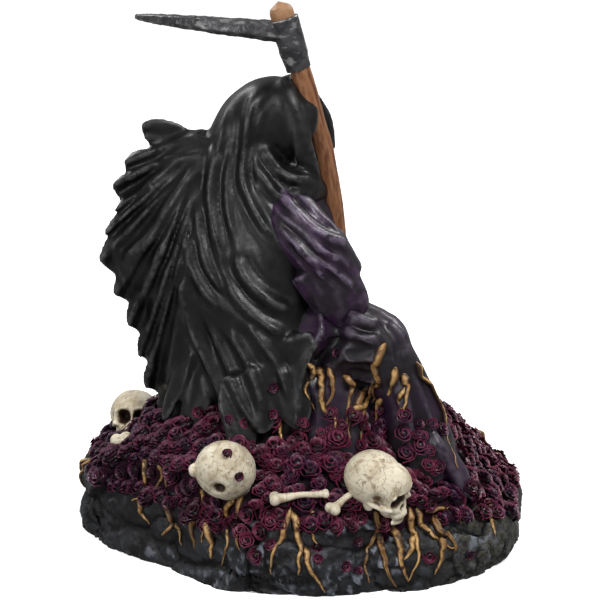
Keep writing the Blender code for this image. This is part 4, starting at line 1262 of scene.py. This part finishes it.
root_shapes = []
root_draw = random.Random(3)
for line in ROCK_ROOTS + CLIMBING_ROOTS:
    hits = near_hits(line)
    if len(hits) > 3:
        thick = ROOT_DIAMETER / 2 * root_draw.uniform(0.8, 1.2)
        root_shapes.append(root_along(hits, thick, len(root_shapes)))
for k in range(FAR_ROOTS):
    turn = -1.45 + 2.9 * (k + root_draw.uniform(0.2, 0.8)) / FAR_ROOTS
    rim = rim_height(rock_outline(turn)[1])
    drop = root_draw.uniform(0.1, 0.5)
    hits = side_hits(turn, turn + root_draw.uniform(-0.12, 0.12), rim * 1.05, rim * drop)
    root_shapes.append(root_along(hits, ROOT_DIAMETER / 2 * root_draw.uniform(0.8, 1.2), k))
    fork = hits[len(hits) // 2 - 1][0]
    fork_turn = math.atan2(fork.y / BASE_LENGTH, fork.x / BASE_DEPTH)
    branch = side_hits(fork_turn, fork_turn + root_draw.choice((-0.1, 0.1)), fork.z, rim * drop)
    if len(branch) > 3:
        root_shapes.append(root_along(branch, ROOT_DIAMETER / 2 * 0.7, k + 5))

roots = joined("roots", [shape for shape, _ in root_shapes])
# The crest values, highest where each root faces out of the surface and none at its sides and underneath, are
# stored as relief, which the root paint turns into painted highlight and painted shade.
crest = roots.data.attributes.new("relief", "FLOAT", "POINT")
crest.data.foreach_set("value", [value for _, crests in root_shapes for value in crests])
ochre = new_paint("root paint", (0.035, 0.017, 0.008), 0.5, 0.4)
# Ochre where the root faces out of the surface; its sides stay dark as painted shade.
relief_coat(ochre, (0.25, 0.125, 0.042), 0.3, 0.7)
# Painted highlight along the crest, dry-brushed in patches.
dry_brush_and_highlight(ochre, (0.60, 0.38, 0.145), 0.5, 0.95, 0.0024, 4.0, 0.34, 0.56)
patchy_coat(ochre, (0.030, 0.014, 0.008), 0.0035, 0.54, 0.66, 0.85, detail=5.0, twist=0.4)
set_gloss(ochre, 0.003, 0.4, 0.6)
tooth(ochre, 0.0011, 0.0003, detail=4.0)
finished(roots, ochre)

# The roses: small open roses cover the whole mound and spill down the rock, all cast in one with it. Each is
# a bud in a spiral of petals, painted burgundy with magenta rims as painted highlight, and nearly black at
# the heart and the petals' roots as painted shade.

ROSE_DIAMETER = 0.0092
ROSE_TURNS = 2.7
PETALS_A_TURN = 3.4
ROSE_SINK = 0.0002
RAY_START = 0.012
SPIRAL_STEPS = 10


def planted(origin, towards, sink, size, draw):
    """A spot where a ray meets the casting, sunk a little, or None."""
    place, normal, _, _ = surface.ray_cast(origin, towards)
    if place is None:
        return None
    if any((place - middle).length < reach for middle, reach in bone_reaches):
        return None
    middle = Vector((0, 0, -MOUND_RISE))
    facing = (normal + 0.5 * (place - middle).normalized() + 0.3 * UP).normalized()
    return place - facing * sink, facing, size, draw.uniform(0, 6.28)


bone_reaches = [
    (on_base(x, y, lift * SKULL_LENGTH), SKULL_LENGTH * size * 0.41) for (x, y, lift), size, _ in SKULLS
]
bone_reaches += [
    (on_base(x, y, lift * BONE_DIAMETER), BONE_DIAMETER * size * 0.7)
    for ends in BONES
    for x, y, lift, size in ends
]


def rose_places():
    """Spots for the roses, spread over the mound like a sunflower's seeds, clear of figure and skulls."""
    spots = []
    draw = random.Random(7)
    count = round(2.9 * BASE_LENGTH * BASE_DEPTH / ROSE_DIAMETER**2)
    for i in range(count):
        share = math.sqrt((i + 0.5) / count) * 0.955
        x, y = rock_outline(i * math.pi * (3 - math.sqrt(5)), share)
        x += draw.uniform(-1, 1) * ROSE_DIAMETER * 0.2
        y += draw.uniform(-1, 1) * ROSE_DIAMETER * 0.2
        size = draw.choice((0.7, 0.8, 0.9, 1.0, 1.1))
        start = Vector((x, y, mound_height(x, y) + RAY_START))
        _, over, _, _ = surface.ray_cast(start, UP)
        if over is not None and over.z > 0:
            continue
        spot = planted(start, -UP, ROSE_SINK, size, draw)
        if spot and rim_height(y) * 0.75 < spot[0].z < mound_height(x, y) + 0.006:
            spots.append(spot)
    return spots


def rim_roses():
    """Roses crowded along the rim, each a little higher or lower than the last."""
    spots = []
    draw = random.Random(19)
    count = round(4.9 * BASE_LENGTH / 2 / ROSE_DIAMETER)
    for row, share in enumerate((0.86, 0.91, 0.95)):
        for i in range(count):
            turn = 2 * math.pi * (i + 0.5 * row + draw.uniform(-0.2, 0.2)) / count
            x, y = rock_outline(turn, share + draw.uniform(-0.012, 0.008))
            size = draw.choice((0.65, 0.8, 0.9))
            spot = planted(Vector((x, y, casting_high.z + 0.01)), -UP, ROSE_SINK, size, draw)
            if spot and rim_height(y) * 0.7 < spot[0].z < mound_height(x, y) + 0.006 and draw.random() < 0.85:
                spots.append(spot)
    return spots


def hem_roses():
    """Roses heaped against the foot of the robe and the cloak, on both sides."""
    spots = []
    draw = random.Random(11)
    for side in (-1, 1):
        for y in np.arange(-58, 62, 5.6):
            low, high = (44, 66) if y < 12 else (42, 54)
            for z in np.arange(low, high, 5.2):
                z_here = z + draw.uniform(-2.2, 2.2) - 0.16 * max(0, abs(y + 8) - 30)
                start = at(OUTSIDE * side, y + draw.uniform(-2.5, 2.5), z_here)
                spot = planted(start, Vector((-side, 0, 0)), 0.0004, draw.choice((0.6, 0.8, 0.95)), draw)
                if spot and draw.random() < 0.85:
                    spots.append(spot)
    return spots


# Roses that spill down the near side of the rock, as (y, z) and size
SPILLED = (
    (20, 33, 1), (15, 27, 0.9), (21, 24, 0.8), (17, 18, 0.85), (24, 30, 0.7), (12, 33, 0.9),
    (12, 22, 0.6), (74, 33, 0.8), (68, 36, 0.8), (48, 34, 0.7), (33, 34, 0.7), (-12, 32, 0.8),
    (-19, 33, 0.75), (-24, 31, 0.7), (-70, 31, 0.8), (-64, 31, 0.8), (45, 36, 0.8), (37, 33, 0.6),
    (-5, 32, 0.7), (-52, 33, 0.7), (-56, 34, 0.8), (80, 32, 0.8), (84, 29, 0.8), (77, 28, 0.7),
    (86, 34, 0.7), (82, 25, 0.6), (73, 28, 0.6), (40, 24, 0.5),
)

# Closed buds on the cloak, the robe, a skull and the rock, as (y, z) and size
BUDS = (
    (11, 77, 0.5), (11, 67, 0.5), (29, 64, 0.5), (22, 63, 0.5), (42, 61, 0.6), (-15, 91, 0.4),
    (-7, 21, 0.6), (-7, 17, 0.5), (-23, 22, 0.5), (-18, 13, 0.55), (-23, 10, 0.5), (-52, 15, 0.65),
    (-68, 13, 0.6), (-73, 27, 0.5), (28.8, 59, 0.5), (24.5, 51, 0.5),
)


def side_spots(places, tree):
    spots = []
    draw = random.Random(5)
    for y, z, size in places:
        place, normal = seen_from_camera_side(tree, y, z)
        if place is not None:
            spots.append((place, normal, size, draw.uniform(0, 6.28)))
    return spots


def rose_tree(name):
    """Instances a spiral-petalled rose on each point, turned to its facing, then makes the roses real."""
    tree = bpy.data.node_groups.new(name, "GeometryNodeTree")
    identifiers = {}
    taken = (("Geometry", "Geometry"), ("Diameter", "Float"), ("Turns", "Float"), ("Paint", "Material"))
    for label, kind in taken:
        socket = tree.interface.new_socket(label, in_out="INPUT", socket_type=f"NodeSocket{kind}")
        identifiers[label] = socket.identifier
    tree.interface.new_socket("Geometry", in_out="OUTPUT", socket_type="NodeSocketGeometry")
    entry, leave = tree.nodes.new("NodeGroupInput"), tree.nodes.new("NodeGroupOutput")

    def fill(socket, value):
        if isinstance(value, bpy.types.NodeSocket):
            tree.links.new(value, socket)
        else:
            socket.default_value = value

    def node(kind, inputs=None, **settings):
        """The first output of a new node, its inputs set or linked by name."""
        made = tree.nodes.new(kind)
        for label, value in settings.items():
            setattr(made, label, value)
        for label, value in (inputs or {}).items():
            fill(made.inputs[label], value)
        return made.outputs[0]

    def product(first, second):
        made = tree.nodes.new("ShaderNodeMath")
        made.operation = "MULTIPLY"
        fill(made.inputs[0], first)
        fill(made.inputs[1], second)
        return made.outputs[0]

    across = entry.outputs["Diameter"]
    spiral = node("GeometryNodeCurveSpiral", {
        "Resolution": SPIRAL_STEPS,
        "Rotations": entry.outputs["Turns"],
        "Start Radius": product(across, 0.05),
        "End Radius": product(across, 0.42),
        "Height": product(across, -0.26),
    })
    # Each petal bellies out, so the spiral's radius swings a little as it goes round
    order = node("GeometryNodeInputIndex")
    swing_turn = product(order, 2 * math.pi * PETALS_A_TURN / SPIRAL_STEPS)
    swing = node("ShaderNodeMath", {"Value": swing_turn}, operation="SINE")
    outward = {"Vector": node("GeometryNodeInputPosition"), "Scale": product(swing, 0.13)}
    belly = node("ShaderNodeVectorMath", outward, operation="SCALE")
    swell = node("GeometryNodeSetPosition", {"Geometry": spiral, "Offset": belly})
    upright = node("GeometryNodeSetCurveNormal", {"Curve": swell}, mode="Z_UP")
    # The petal in section: up from its root and flaring out at the rim; the point's number up it, stored as
    # relief, sets the painted shade and highlight
    wall = node("GeometryNodeCurvePrimitiveBezierSegment", {
        "Resolution": 3,
        "Start": (0.0002, 0.0019, 0),
        "Start Handle": (0.0003, 0.0002, 0),
        "End Handle": (0.0001, -0.0013, 0),
        "End": (-0.0009, -0.0011, 0),
    })
    store = {"Geometry": wall, "Name": "relief", "Value": order}
    rim = node("GeometryNodeStoreNamedAttribute", store, data_type="FLOAT", domain="POINT")
    petals = node("GeometryNodeCurveToMesh", {"Curve": upright, "Profile Curve": rim})
    heart = node("GeometryNodeMeshUVSphere", {"Segments": 8, "Rings": 3, "Radius": product(across, 0.36)})
    flat = {"Geometry": heart, "Scale": (1, 1, 0.5), "Translation": (0, 0, -0.0022)}
    squash = node("GeometryNodeTransform", flat)
    whole = tree.nodes.new("GeometryNodeJoinGeometry")
    tree.links.new(petals, whole.inputs[0])
    tree.links.new(squash, whole.inputs[0])
    height = node("ShaderNodeCombineXYZ", {"Z": product(across, 0.38)})
    lift = node("GeometryNodeTransform", {"Geometry": whole.outputs[0], "Translation": height})
    plant = node("GeometryNodeInstanceOnPoints", {
        "Points": entry.outputs["Geometry"],
        "Instance": lift,
        "Rotation": node("GeometryNodeInputNamedAttribute", {"Name": "turned"}, data_type="FLOAT_VECTOR"),
        "Scale": node("GeometryNodeInputNamedAttribute", {"Name": "share"}, data_type="FLOAT"),
    })
    real = node("GeometryNodeRealizeInstances", {"Geometry": plant})
    painted = node("GeometryNodeSetMaterial", {"Geometry": real, "Material": entry.outputs["Paint"]})
    tree.links.new(painted, leave.inputs[0])
    return tree, identifiers


def grown(name, spots, tree, sizes, values):
    """A mesh of what the tree grows on the spots."""
    thing = sheet_mesh(name, [place for place, _, _, _ in spots], [])
    turns = [
        (facing.to_track_quat("Z", "Y").to_matrix() @ Euler((0, 0, spin)).to_matrix()).to_euler()
        for _, facing, _, spin in spots
    ]
    turned = thing.data.attributes.new("turned", "FLOAT_VECTOR", "POINT")
    turned.data.foreach_set("vector", np.array(turns, np.float32).ravel())
    share = thing.data.attributes.new("share", "FLOAT", "POINT")
    share.data.foreach_set("value", [size for _, _, size, _ in spots])
    modifier = thing.modifiers.new("grown", "NODES")
    modifier.node_group = tree
    for label, value in values.items():
        modifier[sizes[label]] = value
    return settled(thing)


burgundy = new_paint("rose paint", (0.008, 0.002, 0.005), 0.42, 0.4)
# Burgundy up the petals; the heart and the petals' roots stay nearly black as painted shade.
relief_coat(burgundy, (0.055, 0.008, 0.020), 0.05, 0.5)
patchy_coat(burgundy, (0.030, 0.009, 0.034), 0.018, 0.44, 0.58, 0.85)
# Magenta on the petals' rims: painted highlight, dry-brushed in patches.
dry_brush_and_highlight(burgundy, (0.17, 0.022, 0.058), 0.45, 1.0, 0.007, 3.0, 0.36, 0.6, 0.1)
coat(burgundy, (0.022, 0.006, 0.024), ramp(burgundy, along_base(burgundy), 0.005, 0.085, 0, 0.55))
# Painted shade: nearly black in the heart and at the petals' roots.
relief_coat(burgundy, (0.003, 0.001, 0.002), 0.2, 0.0)
set_gloss(burgundy, 0.003, 0.34, 0.55)
tooth(burgundy, 0.0015, 0.0002)

rose_group, rose_sockets = rose_tree("rose")
rose_values = {"Diameter": ROSE_DIAMETER, "Turns": ROSE_TURNS, "Paint": burgundy}
rose_spots = rose_places() + rim_roses() + hem_roses() + side_spots(SPILLED, surface)
roses = grown("roses", rose_spots, rose_group, rose_sockets, rose_values)
finished(roses, burgundy)

everything = tree_of(rock, mound, cloak, robe, bpy.data.objects["skull_2"])
buds = grown("buds", side_spots(BUDS, everything), rose_group, rose_sockets, rose_values)
finished(buds, burgundy)

# The hands: the bare bones of both hands and forearms, which reach out of the sleeves and close round the
# scythe's shaft. Part of the casting, painted as the skulls are.

SHAFT_DIAMETER = 0.0088
SHAFT_SUNK = 0.006
SHAFT_AXIS = (
    (-3, -26, 57), (-4.5, -21, 86), (-5.5, -17.2, 112), (-6, -14.9, 132), (-6, -13.2, 146), (-6, -11, 159),
    (-6, -9, 169), (-6, -4.9, 183.6), (-6, 0.8, 203.4), (-6, 4, 212.3), (-6, 7, 222.2),
)


def shaft_line():
    """The shaft's axis from its foot, sunk in the mound, to just under its blunt end."""
    places = [at(*place) for place in SHAFT_AXIS]
    places[0].z = mound_height(places[0].x, places[0].y) - SHAFT_SUNK
    return places


HAND_GRAIN = 0.00045

# Each hand's height on the shaft and side, where the forearm leaves the sleeve, and its wrist
HANDS = (
    (112, 1, (20, -12, 114), (11, -15, 113)),
    (99, -1, (-31, -27, 105), (-16, -27, 100)),
)


def hand_shapes():
    """Two forearm bones, a palm, and four fingers curled about the shaft."""
    shapes = []
    line = smooth_rows(shaft_line(), 4)
    for height, side, elbow, wrist in HANDS:
        level = at(0, 0, height).z
        axis = Vector([float(np.interp(level, line[:, 2], line[:, column])) for column in range(3)])
        grip = SHAFT_DIAMETER / 2 + 1.4 * UNIT
        palm = axis + Vector((side * 6.2, 0.6, 0)) * UNIT
        shapes.append(ball(palm, lengths(1.9, 2.6, 6.6)))
        for apart in (-1.7, 1.7):
            path = [at(*elbow), at(*wrist).lerp(at(*elbow), 0.4), at(*wrist), palm]
            path = [place + Vector((0, 0, apart)) * UNIT for place in path]
            shapes.append(limb(path, lengths(1.5, 1.15, 1.5, 1.3), sides=12))
        for finger in range(4):
            lift = (finger - 1.5) * 3.2 * UNIT
            path, widths = [], []
            for k in range(10):
                turn = math.radians(20 - k * 28)
                path.append(axis + Vector((side * grip * math.cos(turn), grip * math.sin(turn), lift)))
                widths.append((1.55 if k % 3 == 0 else 1.15) * UNIT)
            shapes.append(limb(path, widths, sides=10, steps=3))
    return shapes


hands = one_skin(joined("hands", hand_shapes()), HAND_GRAIN, 1)
mark_relief(hands, 8, 0.0003)
finished(hands, bone_paint)

# The scythe's shaft: a crooked pole, cast in resin apart from the figure and glued through its hands into the
# mound. Painted as red-brown wood with dark grain, with painted highlight on its raised ridges and painted
# shade in its hollows.

SHAFT_ROUND = 28
SHAFT_ROWS = 16


def grained_shaft():
    """The pole, with the run of its grain stored as a vector on each point."""
    rows = smooth_rows(shaft_line(), SHAFT_ROWS)
    rings, marks = [], []
    run_length = 0.0
    for i, row in enumerate(rows):
        centre = Vector(row)
        along = run_at(rows, i).normalized()
        side = (Vector((1, 0, 0)) - along * along.x).normalized()
        other = along.cross(side)
        run_length += (centre - Vector(rows[max(i - 1, 0)])).length
        ring = []
        for k in range(SHAFT_ROUND):
            turn = 2 * math.pi * k / SHAFT_ROUND
            where = Vector((math.cos(turn) * 0.0044, math.sin(turn) * 0.0044, run_length * 0.16))
            ridge = noise.fractal(where / 0.0016, 1.0, 2.0, 3) * 0.00022
            swell = 0.00012 * noise.noise(Vector((turn, run_length / 0.012, 0)))
            reach = SHAFT_DIAMETER / 2 - 0.0002 + ridge + swell
            ring.append(centre + (side * math.cos(turn) + other * math.sin(turn)) * reach)
            marks.append(where)
        rings.append(ring)
    marks += [Vector((0, 0, 0)), Vector((0, 0, run_length * 0.16))]
    thing = joined("scythe_shaft", [capped(rings, Vector(rows[0]), Vector(rows[-1]))])
    layer = thing.data.attributes.new("wood_run", "FLOAT_VECTOR", "POINT")
    layer.data.foreach_set("vector", np.array(marks, np.float32).ravel())
    return thing


shaft = grained_shaft()
mark_relief(shaft, 5, 0.00018)
wood = new_paint("wood paint", (0.10, 0.028, 0.013), 0.42, 0.45)
patchy_coat(wood, (0.20, 0.072, 0.027), 0.0035, 0.4, 0.62, detail=4.0, attribute="wood_run")
patchy_coat(wood, (0.045, 0.014, 0.009), 0.0011, 0.56, 0.68, detail=4.0, attribute="wood_run", twist=0.4)
# Painted highlight: lighter on the raised ridges.
relief_coat(wood, (0.28, 0.13, 0.06), 0.7, 1.0)
# Painted shade: darker in the hollows.
relief_coat(wood, (0.05, 0.015, 0.01), 0.35, 0.0)
set_gloss(wood, 0.003, 0.35, 0.5)
tooth(wood, 0.0008, 0.0003, 0.6, detail=4.0, attribute="wood_run")
finished(shaft, wood, "scythe")

# The scythe's head: a tapered iron socket, the blunt end of the pole in it, and a sickle blade that curls
# back to the far side. The same casting as the shaft, painted gunmetal and scuffed with silver; the silver on
# its raised places is painted highlight as well as scuffing, and its hollows are darkened as painted shade.

KNOB_SWELL = 0.001
SOCKET_LENGTH = 0.022
SOCKET_TOP_WALL = 0.00185
SOCKET_FOOT_WALL = 0.0008
KNOB_STANDS_OUT = 0.0045
BLADE_LENGTH = 0.096
BLADE_TILT = 9.5
BLADE_ROOT_SPINE = 0.0096
BLADE_END_SPINE = 0.0038
BLADE_WIDTH = 0.0145
BLADE_EDGE = 0.0012
HEAD_GRAIN = 0.0005
KNOB_GRAIN = 0.0004


def blade_shape(root):
    """Thick spine, thin edge, curling to the far side."""
    tilt = math.radians(BLADE_TILT)
    across = Vector((math.cos(tilt), 0, -math.sin(tilt)))
    heading = Vector((0, 1, 0.1)).normalized()
    rings = []
    steps = 40
    place = root.copy()
    for k in range(steps + 1):
        share = k / steps
        bend = math.radians(4 + 105 * share**1.6)
        run = heading * math.cos(bend) + across * math.sin(bend)
        inward = -heading * math.sin(bend) + across * math.cos(bend)
        flat = run.cross(inward).normalized()
        spine = (BLADE_ROOT_SPINE + (BLADE_END_SPINE - BLADE_ROOT_SPINE) * min(1, share / 0.75)) / 2
        width = BLADE_WIDTH * (1 - 0.25 * share)
        tip = math.sqrt(max(0.02, 1 - share**4))
        spine, width, edge = spine * tip, width * tip, BLADE_EDGE / 2 * tip
        # Across the blade, from its back to its edge: how far in, and half how thick
        profile = ((-0.35, spine * 0.6), (-0.18, spine), (0.2, spine * 0.7), (0.65, edge))
        upper = [place + inward * reach * width + flat * half for reach, half in profile]
        lower = [place + inward * reach * width - flat * half for reach, half in profile]
        ring = upper + lower[::-1]
        rings.append(ring[::-1])
        last = place.copy()
        place = place + run * BLADE_LENGTH / steps
    return capped(rings, root - heading * 0.001, last + run * 0.0006)


head_line = shaft_line()
head_run = (head_line[-1] - head_line[-2]).normalized()
socket_top = head_line[-1] - head_run * KNOB_STANDS_OUT * 0.2
socket_foot = socket_top - head_run * SOCKET_LENGTH
shaft_half = SHAFT_DIAMETER / 2
socket_shape = limb(
    [socket_foot, socket_foot.lerp(socket_top, 0.5), socket_top],
    [shaft_half + SOCKET_FOOT_WALL, shaft_half + SOCKET_TOP_WALL * 0.8, shaft_half + SOCKET_TOP_WALL],
    sides=30,
    point=0.05,
)
head = joined("scythe_head", [socket_shape, blade_shape(socket_foot.lerp(socket_top, 0.72))])
one_skin(head, HEAD_GRAIN, 2)
head_points, head_normals = points_of(head)
hammered = [0.0003 * noise.fractal(Vector(point) / 0.004, 1.0, 2.0, 3) for point in head_points]
pitted = [0.00035 * max(0, noise.noise(Vector(point) / 0.0022) - 0.25) for point in head_points]
dints = np.array(hammered) - np.array(pitted) - 0.0001
put_points(head, head_points + head_normals * dints[:, None])
mark_relief(head, 10, 0.0004)

iron = new_paint("iron paint", (0.030, 0.030, 0.033), 0.4, 0.6, 0.35)
patchy_coat(iron, (0.06, 0.059, 0.063), 0.006, 0.4, 0.6)
patchy_coat(iron, (0.24, 0.235, 0.24), 0.0026, 0.55, 0.66, 0.8, detail=6.0, stretch=(1, 0.35, 1))
# Silver on the raised places: scuffed paint and painted highlight both.
relief_coat(iron, (0.42, 0.42, 0.43), 0.66, 0.95)
# Painted shade: nearly black in the hollows.
relief_coat(iron, (0.008, 0.008, 0.009), 0.4, 0.1)
set_gloss(iron, 0.002, 0.3, 0.55)
tooth(iron, 0.0012, 0.0003, detail=5.0)
finished(head, iron, "scythe")

knob = shaft_half + KNOB_SWELL / 2
knob_path = [socket_top + head_run * run for run in (-0.002, KNOB_STANDS_OUT * 0.5, KNOB_STANDS_OUT)]
pole_end = joined("pole_end", [limb(knob_path, [knob * 0.96, knob, knob * 0.86], sides=30)])
one_skin(pole_end, KNOB_GRAIN, 1)
mark_relief(pole_end, 6, 0.0004)
end_wood = new_paint("cut wood paint", (0.24, 0.11, 0.05), 0.5, 0.4)
coat(end_wood, (0.42, 0.24, 0.12), grain(end_wood, 0.0016))
# Painted shade: darker in the hollows.
relief_coat(end_wood, (0.06, 0.02, 0.012), 0.35, 0.05)
set_gloss(end_wood, 0.003, 0.4, 0.6)
tooth(end_wood, 0.001, 0.0003, detail=4.0)
finished(pole_end, end_wood, "scythe")
